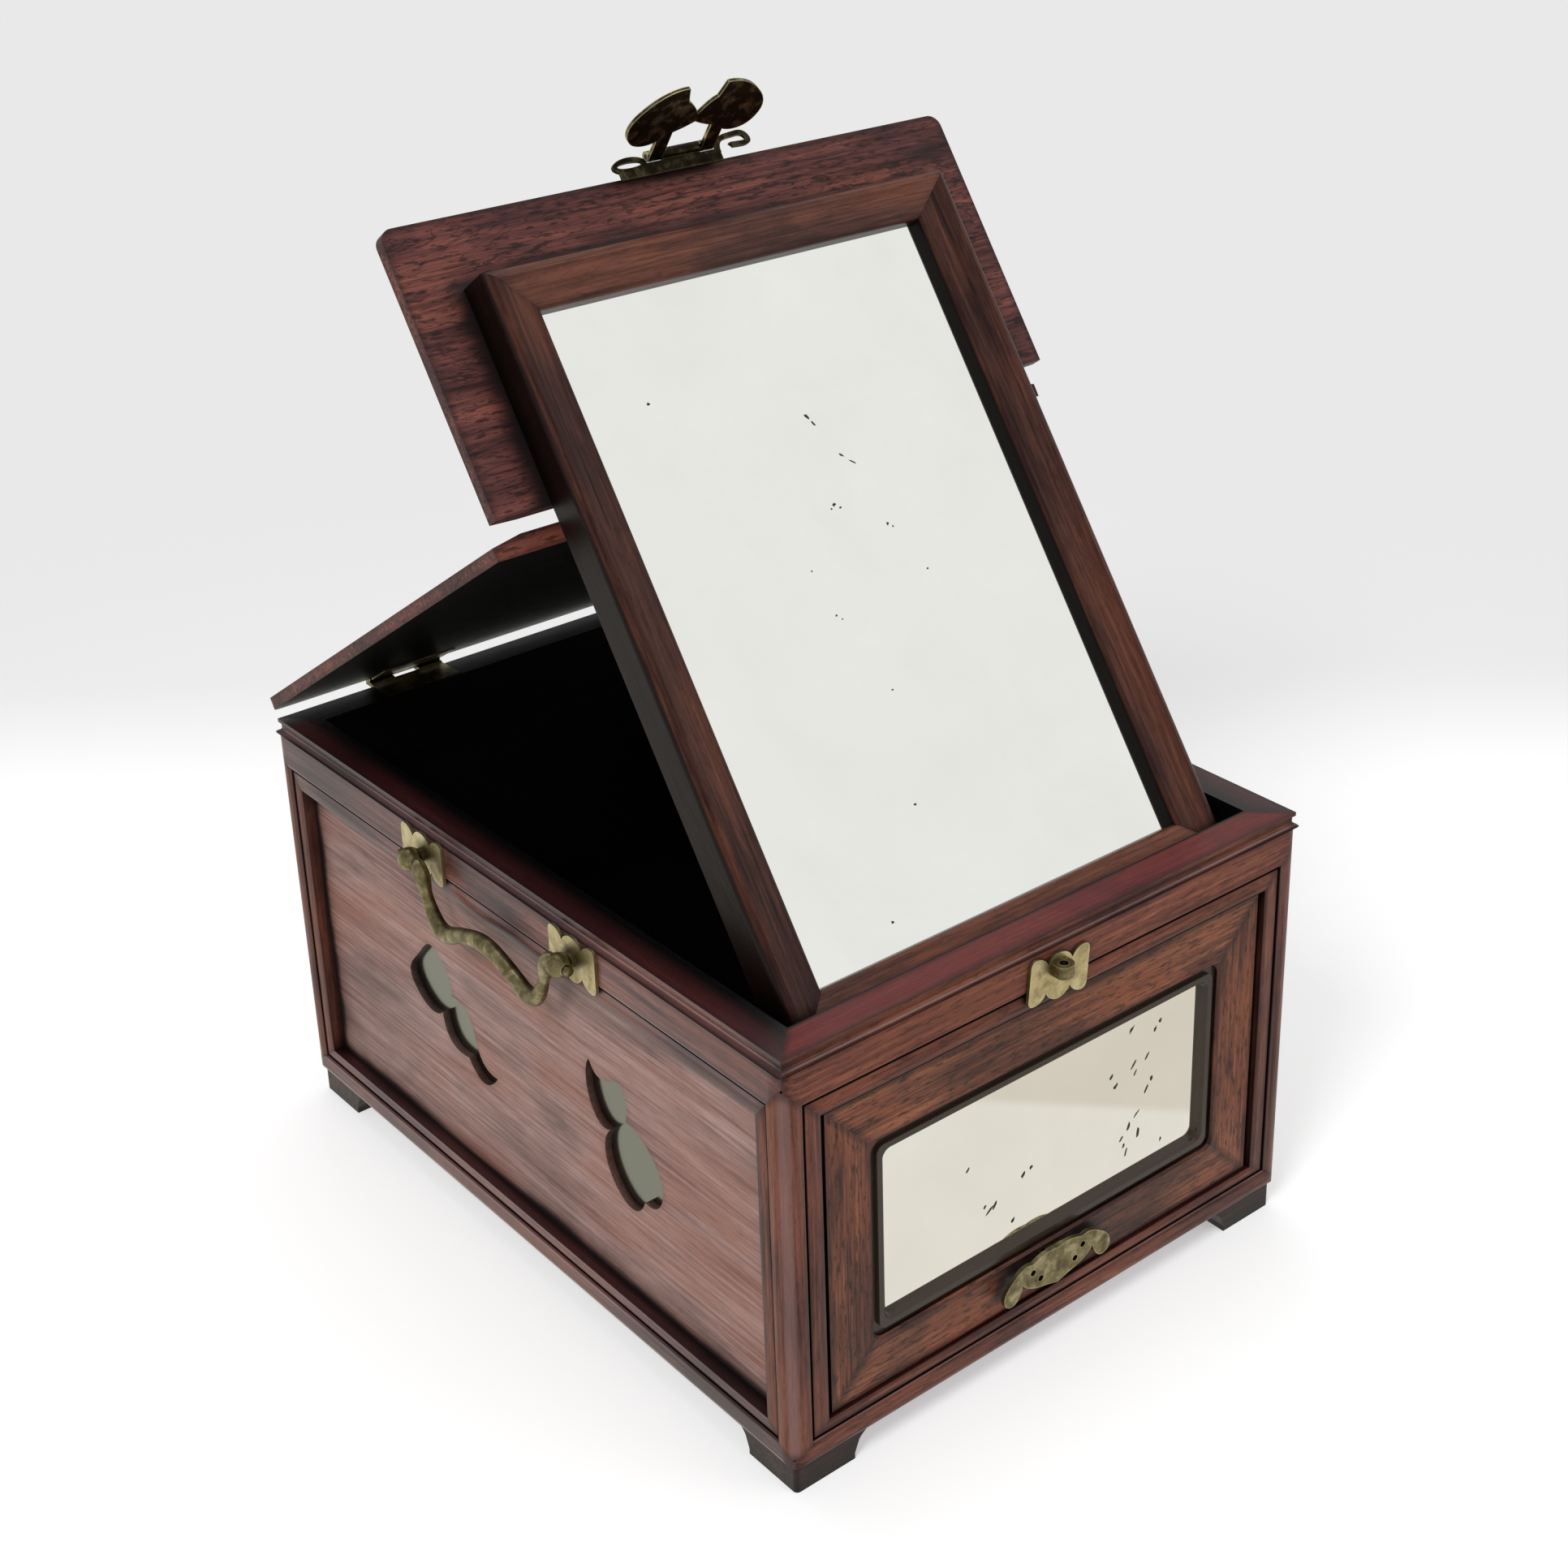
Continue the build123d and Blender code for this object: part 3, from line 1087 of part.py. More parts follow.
with BuildPart() as bat_pull:
    with BuildSketch(Plane(origin=(PULL_X, pull_back_y, PULL_Z), x_dir=X_AXIS, z_dir=(0, -1, 0))):
        with BuildLine():
            for sx in (1, -1):
                for run in BAT_RUNS:
                    Spline(*[(sx * x, z) for x, z in run])
        make_face()
        with Locations(*[(sx * x, z) for sx in (1, -1) for x, z in BAT_HOLES]):
            Circle(PULL_HOLE_R, mode=Mode.SUBTRACT)
    extrude(amount=PULL_T)
    with BuildSketch(Plane.YZ.offset(PULL_X - PULL_LUG_HALF)):
        with Locations((rod_y, rod_z)):
            Circle(PULL_LUG_R)
    extrude(amount=2 * PULL_LUG_HALF)
    with BuildSketch(Plane.YZ.offset(PULL_X - PULL_LUG_HALF)):
        with Locations((rod_y, rod_z)):
            Circle(PULL_ROD_R + PIN_CLEAR)
    extrude(amount=2 * PULL_LUG_HALF, mode=Mode.SUBTRACT)
save(bat_pull.part, "bat_pull")

with BuildPart() as bat_pull_pin:
    with BuildSketch(Plane.YZ.offset(PULL_X)):
        with Locations((rod_y, rod_z)):
            Circle(PULL_ROD_R)
    extrude(amount=PULL_ROD_HALF, both=True)
    for sx in (-1, 1):
        with BuildSketch(Plane.XZ.offset(-rod_y)):
            with Locations((PULL_X + sx * PULL_STEM_X, rod_z)):
                Circle(PULL_STEM_R)
        extrude(amount=rod_y - DRAWER_FACE_Y)
save(bat_pull_pin.part, "bat_pull_pin")
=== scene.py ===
"""Vanity box with a folding mirror lid: the looks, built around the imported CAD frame."""

import json
import math
import random

import bmesh
import bpy
from mathutils import Matrix, Vector


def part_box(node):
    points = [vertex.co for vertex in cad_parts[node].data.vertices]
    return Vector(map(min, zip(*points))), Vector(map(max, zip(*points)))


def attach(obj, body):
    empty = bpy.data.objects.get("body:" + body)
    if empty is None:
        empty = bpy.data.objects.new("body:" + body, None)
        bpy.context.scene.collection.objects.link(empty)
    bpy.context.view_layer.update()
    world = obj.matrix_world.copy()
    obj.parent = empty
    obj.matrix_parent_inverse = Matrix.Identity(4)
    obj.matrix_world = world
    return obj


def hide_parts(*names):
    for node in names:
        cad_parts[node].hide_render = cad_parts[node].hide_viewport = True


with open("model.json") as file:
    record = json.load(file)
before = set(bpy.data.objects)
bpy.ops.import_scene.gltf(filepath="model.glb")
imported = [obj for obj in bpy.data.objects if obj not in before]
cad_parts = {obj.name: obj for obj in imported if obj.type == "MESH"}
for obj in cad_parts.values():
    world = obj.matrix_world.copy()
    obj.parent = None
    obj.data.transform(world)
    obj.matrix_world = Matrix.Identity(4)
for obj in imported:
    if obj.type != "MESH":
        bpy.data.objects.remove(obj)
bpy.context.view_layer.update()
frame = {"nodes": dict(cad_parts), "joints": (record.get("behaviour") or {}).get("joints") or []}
nodes = frame["nodes"]
joints = {joint["name"]: joint for joint in frame["joints"]}

MM = 0.001


# Camera -------------------------------------------------------------------------------

CAMERA_AT = Vector((-0.4154, -0.5479, 0.4978))
CAMERA_AZIMUTH = 40.21  # from +Y towards +X
CAMERA_DOWN = 24.56
CAMERA_ROLL = 0.87
IMAGE_PX = 1932
FOCAL_PX = 3075.4
CENTRE_PX = (1085.5, 786.7)
SENSOR_MM = 36.0


def add_camera():
    azimuth, down = math.radians(CAMERA_AZIMUTH), math.radians(CAMERA_DOWN)
    ahead = Vector(
        (math.sin(azimuth) * math.cos(down), math.cos(azimuth) * math.cos(down), -math.sin(down))
    )
    right = Vector((math.cos(azimuth), -math.sin(azimuth), 0))
    right.rotate(Matrix.Rotation(math.radians(CAMERA_ROLL), 3, ahead))
    up = right.cross(ahead)
    data = bpy.data.cameras.new("camera")
    data.sensor_width = SENSOR_MM
    data.lens = FOCAL_PX / IMAGE_PX * SENSOR_MM
    data.shift_x = (IMAGE_PX / 2 - CENTRE_PX[0]) / IMAGE_PX
    data.shift_y = (CENTRE_PX[1] - IMAGE_PX / 2) / IMAGE_PX
    camera = bpy.data.objects.new("camera", data)
    turn = Matrix((right, up, -ahead)).transposed().to_4x4()
    camera.matrix_world = Matrix.Translation(CAMERA_AT) @ turn
    bpy.context.scene.collection.objects.link(camera)
    bpy.context.scene.camera = camera


# Materials ----------------------------------------------------------------------------


class Shader:
    """A node material being made."""

    def __init__(self, name):
        self.material = bpy.data.materials.new(name)
        self.material.use_nodes = True
        self.tree = self.material.node_tree
        self.surface = self.tree.nodes["Principled BSDF"]

    def add(self, kind, inputs=(), out=0, **settings):
        """Adds a node, sets or links its inputs and returns one of its outputs."""
        node = self.tree.nodes.new("ShaderNode" + kind)
        for key, value in settings.items():
            setattr(node, key, value)
        for key, value in dict(inputs).items():
            self.put(node.inputs[key], value)
        return node.outputs[out]

    def put(self, socket, value):
        if isinstance(value, bpy.types.NodeSocket):
            self.tree.links.new(value, socket)
        else:
            socket.default_value = value

    def set(self, **values):
        for key, value in values.items():
            self.put(self.surface.inputs[key.replace("_", " ")], value)

    def math(self, operation, a, b=0.0):
        return self.add("Math", {0: a, 1: b}, operation=operation)

    def dot(self, a, b):
        return self.add("VectorMath", {0: a, 1: b}, out="Value", operation="DOT_PRODUCT")

    def fade(self, value, start, end, first=0.0, last=1.0, kind="SMOOTHSTEP"):
        """Goes from first to last as the value goes from start to end."""
        inputs = {"Value": value, "From Min": start, "From Max": end}
        inputs.update({"To Min": first, "To Max": last})
        return self.add("MapRange", inputs, interpolation_type=kind)

    def spot(self):
        """The point being shaded, in the object's own space."""
        return self.add("TexCoord", out="Object")

    def along(self, axis):
        return self.add("SeparateXYZ", {"Vector": self.spot()}, out=axis)

    def place(self, scale=(1, 1, 1), turn=(0, 0, 0), offset=(0, 0, 0)):
        turned = self.add("Mapping", {"Vector": self.spot(), "Rotation": turn, "Location": offset})
        return self.add("Mapping", {"Vector": turned, "Scale": scale})

    def flatness(self, radius, samples):
        """1 on flat surfaces, less within the radius of an edge."""
        rounded = self.add("Bevel", {"Radius": radius}, samples=samples)
        return self.dot(rounded, self.add("NewGeometry", out="Normal"))

    def openness(self, distance, samples):
        """1 in the open, less in corners and recesses."""
        return self.add("AmbientOcclusion", {"Distance": distance}, out="AO", samples=samples)

    def noise(self, vector, scale, detail, roughness, distortion=0.0):
        inputs = {
            "Vector": vector,
            "Scale": scale,
            "Detail": detail,
            "Roughness": roughness,
            "Distortion": distortion,
        }
        return self.add("TexNoise", inputs)

    def ramp(self, factor, stops):
        node = self.tree.nodes.new("ShaderNodeValToRGB")
        ramp = node.color_ramp
        while len(ramp.elements) < len(stops):
            ramp.elements.new(0.5)
        for element, (position, colour) in zip(ramp.elements, stops):
            element.position = position
            element.color = (*(colour if isinstance(colour, tuple) else [colour] * 3), 1)
        self.put(node.inputs["Fac"], factor)
        return node.outputs["Color"]

    def mix(self, factor, a, b, blend="MIX"):
        node = self.tree.nodes.new("ShaderNodeMix")
        node.data_type = "RGBA"
        node.blend_type = blend
        for index, value in ((0, factor), (6, a), (7, b)):
            if isinstance(value, tuple) and len(value) == 3:
                value = (*value, 1)
            self.put(node.inputs[index], value)
        return node.outputs[2]

    def multiply(self, share, colour, mask):
        return self.mix(share, colour, mask, "MULTIPLY")

    def bump(self, height, strength, distance):
        return self.add("Bump", {"Height": height, "Strength": strength, "Distance": distance})


def srgb(r, g, b):
    """A colour as an image shows it, 0 to 255, in Blender's linear values."""
    def linear(value):
        value /= 255
        return value / 12.92 if value <= 0.04045 else ((value + 0.055) / 1.055) ** 2.4

    return (linear(r), linear(g), linear(b))


def grain_scale(grain, stretch):
    return tuple(1.0 if axis == grain else stretch for axis in "XYZ")


# Noise in the wood: stretch across the grain, scale, detail, roughness, distortion
STREAKS = (38.0, 24, 8, 0.66, 0.15)
BANDS = (16.0, 9, 4, 0.60, 0.40)
PATCHES = (3.0, 16, 3, 0.55, 0.50)
WAVES = (8.0, 9, 4, 0.60, 1.20)
SPECKS = (5.0, 170, 3, 0.65, 0.0)
PORES = (38.0, 80, 3, 0.65, 0.0)
BAND_SHARE = 0.35  # of the bands in the streaks
PORE_SHARE = 0.45
WAVE_LINES = 14.0  # how many dark lines the waves make
COLOUR_AT = (0.37, 0.50, 0.63)
WARM_AT = (0.48, 0.70)
GLOOM_AT = (0.30, 0.52)
LINE_STOPS = ((0.0, 0.2), (0.12, 1.0))
SPECK_STOPS = ((0.38, 0.12), (0.47, 1.0))
PORE_STOPS = ((0.36, 0.3), (0.46, 1.0))
SEAM_STOPS = ((0.84, 0.55), (0.97, 0.0))
STAIN_AT = (0.86, 1.0)
# ambient occlusion values where the painted shade in corners is full and where it ends
CORNER_SHADE_AT = (0.48, 0.94)
ENDS_AT = (0.3, 0.7)  # where a plain noise reaches its low and high ends
DULLER = 0.12  # how much rougher the dark streaks are
WOOD_BUMP = (0.25, 0.00015)  # strength, height in metres
RAGGED_STAIN_AND_SHADE, RAGGED_SHADE = 0.35, 1.3  # how far the patches move the edges of the mitre stain and of the painted shade
WARM = srgb(150, 84, 52)  # the orange-brown patches
SEAM = srgb(24, 10, 9)  # the thin dark line along each joint and arris
EDGE_R = 0.00035
STAIN = srgb(34, 18, 22)  # the wider dark stain along the mitres
STAIN_R = 0.0045
RECESS_SHADE = srgb(24, 17, 19)  # painted shade, black-brown, along the recesses
BLACK_SHADE_TONE = srgb(10, 8, 8)  # painted shade: the black of the inside, the rear leaf's underside and the tops at the back
SIDE_AT = 0.8  # how near a face points along the direction of its side
PANE_BACK_X = 0.0896  # the backs of the side mirrors lie inside this
INSIDE_HALF = (0.0872, 0.1200)  # the inside of the case, a little over its clear half sizes


def inside_mask(shader, half):
    """1 on what faces the inside of the case, 0 on its outside."""
    within = [
        shader.math("LESS_THAN", shader.math("ABSOLUTE", shader.along(axis)), half[axis])
        for axis in (0, 1)
    ]
    return shader.math("MULTIPLY", *within)


def facing(shader, direction, low, high):
    """0 to 1 as a face turns towards the direction, the same on both sides of the box."""
    normal = shader.add("TexCoord", out="Normal")
    either = shader.add("VectorMath", {0: normal}, operation="ABSOLUTE")
    return shader.fade(shader.dot(either, Vector(direction).normalized()), low, high)


def side_mask(shader, direction):
    """1 on the side of a board that faces along the direction, in its own space."""
    turned = shader.dot(shader.add("TexCoord", out="Normal"), direction)
    return shader.math("GREATER_THAN", turned, SIDE_AT)


def wood(
    name, dark, body, light, grain, turn=(0, 0, 0), offset=(0, 0, 0), gloss=0.34, warm=0.3,
    figure=0.35, mottle=0.25, corner_shade=0.8, reach=0.007, edges=0.75, shine=0.25, gloom=0.48,
    black_shade=None, recess_shade=None, painted_light=(),
):
    """Rosewood: fine streaks, dark lines and pores, thin dark joints, painted shade in the
    corners.
    """
    shader = Shader(name)

    def layer(stretch, *noise):
        return shader.noise(shader.place(grain_scale(grain, stretch), turn, offset), *noise)

    streaks, patches = layer(*STREAKS), layer(*PATCHES)
    grainy = shader.mix(BAND_SHARE, streaks, layer(*BANDS))
    colour = shader.ramp(grainy, tuple(zip(COLOUR_AT, (dark, body, light))))
    colour = shader.mix(shader.ramp(patches, tuple(zip(WARM_AT, (0.0, warm)))), colour, WARM)
    colour = shader.multiply(1.0, colour, shader.ramp(patches, tuple(zip(GLOOM_AT, (gloom, 1.0)))))
    lines = shader.math("PINGPONG", shader.math("MULTIPLY", layer(*WAVES), WAVE_LINES), 0.5)
    colour = shader.multiply(figure, colour, shader.ramp(lines, LINE_STOPS))
    colour = shader.multiply(mottle, colour, shader.ramp(layer(*SPECKS), SPECK_STOPS))
    pores = shader.ramp(layer(*PORES), PORE_STOPS)
    colour = shader.multiply(PORE_SHARE, colour, pores)
    # painted light and shade: a tone for each direction a face turns towards
    for direction, low, high, tone, share in painted_light:
        mask = shader.math("MULTIPLY", facing(shader, direction, low, high), share)
        colour = shader.mix(mask, colour, tone)
    colour = shader.mix(shader.ramp(shader.flatness(EDGE_R, 4), SEAM_STOPS), colour, SEAM)
    ragged = shader.math("MULTIPLY", shader.math("SUBTRACT", patches, 0.5), RAGGED_STAIN_AND_SHADE)
    soft = shader.math("ADD", shader.flatness(STAIN_R, 6), ragged)
    colour = shader.mix(shader.ramp(soft, tuple(zip(STAIN_AT, (edges, 0.0)))), colour, STAIN)
    # painted shade: ambient occlusion darkens the colour in corners and recesses
    uneven = shader.math("MULTIPLY", ragged, RAGGED_SHADE)
    shade = shader.math("ADD", shader.openness(reach, 8), uneven)
    colour = shader.multiply(1.0, colour, shader.ramp(shade, tuple(zip(CORNER_SHADE_AT, (1 - corner_shade, 1.0)))))
    # painted shade: black-brown along the recesses
    if recess_shade:
        colour = shader.mix(recess_shade(shader, ragged), colour, RECESS_SHADE)
    # painted shade: black inside the case and under the lid
    if black_shade:
        colour = shader.mix(black_shade(shader), colour, BLACK_SHADE_TONE)
    rough = shader.ramp(streaks, tuple(zip(ENDS_AT, (gloss + DULLER, gloss))))
    bump = shader.bump(shader.mix(0.5, pores, streaks), *WOOD_BUMP)
    shader.set(Base_Color=colour, Roughness=rough, Specular_IOR_Level=shine, Normal=bump)
    return shader.material


CLOUD = (260, 5, 0.6, 0.3)  # tarnish noise: scale, detail, roughness, distortion
CLOUD_AT = (0.22, 0.50, 0.84)
WEAR_AND_HIGHLIGHT_AT = (0.80, 0.995)
CORNER_STOPS = ((0.3, 0.35), (0.9, 1.0))
METAL_EDGE_R, METAL_REACH = 0.0007, 0.003
METAL_DULLER = 0.16
METAL_BUMP = (0.25, 0.0004)
HAZE = (30, 4, 0.6, 0.4)  # the same for the mirrors
PAINT_STRETCH, PAINT_NOISE = (1, 4, 4), (40, 4, 0.6)
HAZE_DARKER = 0.95
PANE_BLACK, PANE_ROUGH = srgb(8, 7, 7), 0.9


def metal(name, deep, body, bright, roughness=0.34, wear_and_highlight=0.6):
    """Old brass: cloudy tarnish, dark in the corners and bright on the edges from wear and a
    painted highlight.
    """
    shader = Shader(name)
    cloud = shader.noise(shader.place(), *CLOUD)
    colour = shader.ramp(cloud, tuple(zip(CLOUD_AT, (deep, body, bright))))
    # worn edges and painted highlight: the edges turn to the bright colour
    worn_and_lit = shader.ramp(shader.flatness(METAL_EDGE_R, 6), tuple(zip(WEAR_AND_HIGHLIGHT_AT, (wear_and_highlight, 0.0))))
    colour = shader.mix(worn_and_lit, colour, bright)
    shade = shader.ramp(shader.openness(METAL_REACH, 6), CORNER_STOPS)
    rough = shader.ramp(cloud, tuple(zip(ENDS_AT, (roughness + METAL_DULLER, roughness))))
    shader.set(Base_Color=shader.multiply(1.0, colour, shade), Metallic=1.0, Roughness=rough)
    shader.set(Normal=shader.bump(cloud, *METAL_BUMP))
    return shader.material


def silvered(name, colour, roughness=0.03, backed=None):
    """Mirror glass with a faint cloudiness; a backed pane is black towards the inside."""
    shader = Shader(name)
    haze = shader.noise(shader.place(), *HAZE)
    darker = tuple(HAZE_DARKER * c for c in colour)
    tone = shader.ramp(haze, tuple(zip(ENDS_AT, (darker, colour))))
    rough = roughness
    if backed:
        mask = backed(shader, (PANE_BACK_X, 1.0))
        tone = shader.mix(mask, tone, PANE_BLACK)
        rough = shader.ramp(mask, ((0, roughness), (1, PANE_ROUGH)))
    shader.set(Base_Color=tone, Metallic=1.0, Roughness=rough)
    return shader.material


def painted(name, colour, roughness, streak=0.25, shine=0.35):
    """Plain dark lacquer, stained wood and tarnish, and the black painted shade of the inside."""
    shader = Shader(name)
    cloud = shader.noise(shader.place(PAINT_STRETCH), *PAINT_NOISE)
    darker = tuple((1 - streak) * c for c in colour)
    tone = shader.ramp(cloud, tuple(zip(ENDS_AT, (darker, colour))))
    shader.set(Base_Color=tone, Roughness=roughness, Specular_IOR_Level=shine)
    return shader.material


LEAN = math.radians(125.0)  # front leaf and mirror, from level
FOLD = Vector(joints["lid_fold"]["pos_m"])
UP_LEAF = Vector((0, -math.cos(LEAN), math.sin(LEAN)))
OFF_LEAF = Vector((0, -math.sin(LEAN), -math.cos(LEAN)))  # out of the mirror
UNDER_REAR = Vector((0, -0.552, -0.834))  # out of the rear leaf's underside
RAIL_BLACK = (0.0885, 0.0960)  # the side rails' tops fade to painted black shade between these, inwards
BLACK_BACK_Y = 0.1  # the rails' tops are painted black shade behind this
BACK_OUTSIDE = (0.1, 0.1238)  # the back panel is painted black shade on what lies inside this
LEAF_SHADE_REACH = 0.007  # how far the painted shade spreads round the mirror's frame
# how far the painted shade spreads from the side panel's frame
PANEL_SHADE_REACH = 0.0035
RAGGED = 0.02  # how far the noise moves a painted shade's edge

# Painted light and shade on what faces a direction: direction, where the tone starts and is full,
# colour, share
# painted shade: darker red on the tops of the rails and posts
TOP_SHADE = ((0, 0, 1), 0.97, 0.995, srgb(92, 34, 38), 0.75)
SIDE_TOP_SHADE = ((0, 0, 1), 0.97, 0.995, srgb(56, 20, 24), 0.85)
SWELL_TOP_SHADE = ((0.55, 0, 0.84), 0.90, 0.98, srgb(92, 40, 40), 0.6)
# painted highlights: pale bands on the swelled rails, the rounded edges and the post corners
SWELL_HIGHLIGHT = ((0.93, 0, 0.36), 0.965, 0.998, srgb(168, 144, 144), 0.45)
EDGE_HIGHLIGHT = ((0, 0.6, 0.8), 0.975, 0.999, srgb(176, 150, 146), 0.55)
CORNER_HIGHLIGHT = ((1, 1, 0), 0.93, 0.995, srgb(132, 106, 104), 0.45)
# painted shade: the side faces of the mirror frame's side members near black
SIDE_SHADE = ((1, 0, 0), 0.75, 0.95, srgb(13, 7, 6), 0.96)


# painted shade: the inside of the case is black
def case_inside(shader):
    return inside_mask(shader, INSIDE_HALF)


def fading_inside(shader):
    """Painted black shade inside the case and over the inner edge of the side rails."""
    return shader.fade(shader.math("ABSOLUTE", shader.along(0)), *RAIL_BLACK, 1.0, 0.0, "LINEAR")


def black_back(shader):
    """Painted black shade on the inside of the case, and on the tops at its back."""
    behind = shader.math("GREATER_THAN", shader.along(1), BLACK_BACK_Y)
    rear = shader.math("MULTIPLY", behind, facing(shader, (0, 0, 1), 0.9, 0.99))
    return shader.math("MAXIMUM", case_inside(shader), rear)


def back_inside(shader):
    return inside_mask(shader, BACK_OUTSIDE)


# painted shade: the rear leaf's underside is black
def rear_underside(shader):
    turn = nodes["lid_rear_leaf"].matrix_world.to_3x3().inverted()
    return side_mask(shader, tuple(turn @ UNDER_REAR))


def shade_fade_mask(shader, far, ragged, reach, most):
    """The painted shade's share, from its distance beyond an edge."""
    far = shader.math("ADD", far, shader.math("MULTIPLY", ragged, RAGGED))
    return shader.fade(far, 0.0, reach, most, 0.0)


def leaf_shade(shader, ragged):
    """Painted shade on the leaf round the frame of the mirror, on that side only."""
    corners = [Vector(v.co) for v in nodes["mirror_frame_top"].data.vertices]
    top = max((corner - FOLD).dot(UP_LEAF) for corner in corners)
    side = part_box("mirror_frame_right")[1][0]
    beside = shader.math("SUBTRACT", shader.math("ABSOLUTE", shader.along(0)), side)
    beyond = shader.math("SUBTRACT", shader.dot(shader.spot(), UP_LEAF), FOLD.dot(UP_LEAF) + top)
    far = shader.math("MAXIMUM", beside, beyond)
    mask = shade_fade_mask(shader, far, ragged, LEAF_SHADE_REACH, 0.9)
    return shader.math("MULTIPLY", mask, side_mask(shader, tuple(OFF_LEAF)))


def panel_shade(shader, ragged):
    """Painted shade on a side panel along the frame that holds it."""
    front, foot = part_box("post_front_left")[1][1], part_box("bottom_rail_left")[1][2]
    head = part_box("top_rail_left")[0][2]
    ends = shader.math("SUBTRACT", -front, shader.math("ABSOLUTE", shader.along(1)))
    low = shader.math("SUBTRACT", shader.along(2), foot)
    high = shader.math("SUBTRACT", head, shader.along(2))
    far = shader.math("MINIMUM", ends, shader.math("MINIMUM", low, high))
    return shade_fade_mask(shader, far, ragged, PANEL_SHADE_REACH, 0.95)


LEAF = (srgb(40, 18, 19), srgb(98, 55, 52), srgb(132, 76, 66))
frame_x = wood(
    "frame_grain_x", srgb(50, 22, 19), srgb(106, 54, 43), srgb(148, 88, 64), "X",
    mottle=0.5, figure=0.25, black_shade=black_back, painted_light=(TOP_SHADE, EDGE_HIGHLIGHT),
)
frame_y = wood(
    "frame_grain_y", srgb(56, 26, 26), srgb(100, 56, 52), srgb(134, 88, 82), "Y",
    offset=(0.3, 0, 0.1), gloss=0.24, shine=0.5, black_shade=fading_inside,
    painted_light=(SIDE_TOP_SHADE, SWELL_TOP_SHADE, SWELL_HIGHLIGHT),
)
frame_z = wood(
    "frame_grain_z", srgb(52, 27, 23), srgb(100, 59, 51), srgb(130, 84, 71), "Z",
    offset=(0, 0.2, 0), black_shade=case_inside, painted_light=(TOP_SHADE, CORNER_HIGHLIGHT),
)
back_board = wood("back_board", *LEAF, "X", gloss=0.4, black_shade=back_inside)
rear_board = wood(
    "rear_leaf", *LEAF, "X", gloss=0.4, mottle=0.7, figure=0.6, black_shade=rear_underside
)
# painted light: the side panels' colours are lighter for the light and sheen on the lit side
lit_side_panel = wood(
    "side_panel", srgb(120, 86, 82), srgb(154, 120, 112), srgb(176, 144, 137), "Y",
    gloss=0.4, warm=0.35, figure=0.1, mottle=0.1, corner_shade=0.95, reach=0.010, edges=0.2, gloom=0.7,
    recess_shade=panel_shade,
)
panel_x = wood(
    "lid_leaf", *LEAF, "X", gloss=0.42, warm=0.2, figure=0.8, mottle=0.85, reach=0.008,
    recess_shade=leaf_shade,
)
mirror_side = wood(
    "mirror_side", srgb(30, 15, 12), srgb(66, 39, 33), srgb(92, 57, 45), "Y", turn=(LEAN, 0, 0),
    gloss=0.24, warm=0.15, figure=0.3, shine=0.14, edges=0.35, painted_light=(SIDE_SHADE,),
)
mirror_end = wood(
    "mirror_end", srgb(38, 20, 16), srgb(82, 47, 38), srgb(112, 68, 52), "X",
    gloss=0.26, warm=0.25, figure=0.3, edges=0.35,
)
drawer_x = wood(
    "drawer_grain_x", srgb(54, 27, 22), srgb(118, 68, 50), srgb(160, 100, 68), "X",
    offset=(0, 0.5, 0), warm=0.6, mottle=0.75, figure=0.22,
)
drawer_z = wood(
    "drawer_grain_z", srgb(52, 26, 21), srgb(112, 63, 47), srgb(152, 94, 64), "Z",
    offset=(0.6, 0, 0), warm=0.6, mottle=0.75, figure=0.22,
)
# painted shade: the compartment and the drawer's inside near black
inside = painted("inside_painted_shade", srgb(6, 5, 5), 0.9, shine=0.05)
footing = wood("footing", srgb(18, 10, 8), srgb(52, 31, 26), srgb(78, 49, 40), "X", warm=0.1)
liner = painted("liner_stain", srgb(56, 44, 35), 0.24)
lacquer = painted("black_lacquer", srgb(30, 27, 23), 0.3)
mirror_big = silvered("mirror_silver", srgb(243, 244, 240))
mirror_small = silvered("mirror_silver_old", srgb(240, 237, 230))
mirror_dim = silvered("mirror_silver_dim", srgb(126, 127, 115), 0.16, inside_mask)
brass = metal("aged_brass", srgb(58, 50, 36), srgb(126, 115, 82), srgb(198, 188, 148))
tarnish = painted("tarnish", srgb(60, 56, 50), 0.7, 0.4)
plate_brass = metal("plate_brass", srgb(130, 116, 82), srgb(196, 182, 138), srgb(226, 216, 178))
# painted highlight: the hasp's edges fully bright on dark bronze
bronze = metal("dark_bronze", srgb(24, 19, 13), srgb(54, 45, 31), srgb(220, 210, 165), 0.26, 1.0)
black_bronze = metal(
    "black_bronze", srgb(16, 13, 9), srgb(38, 32, 22), srgb(104, 96, 68), 0.3, 0.5
)

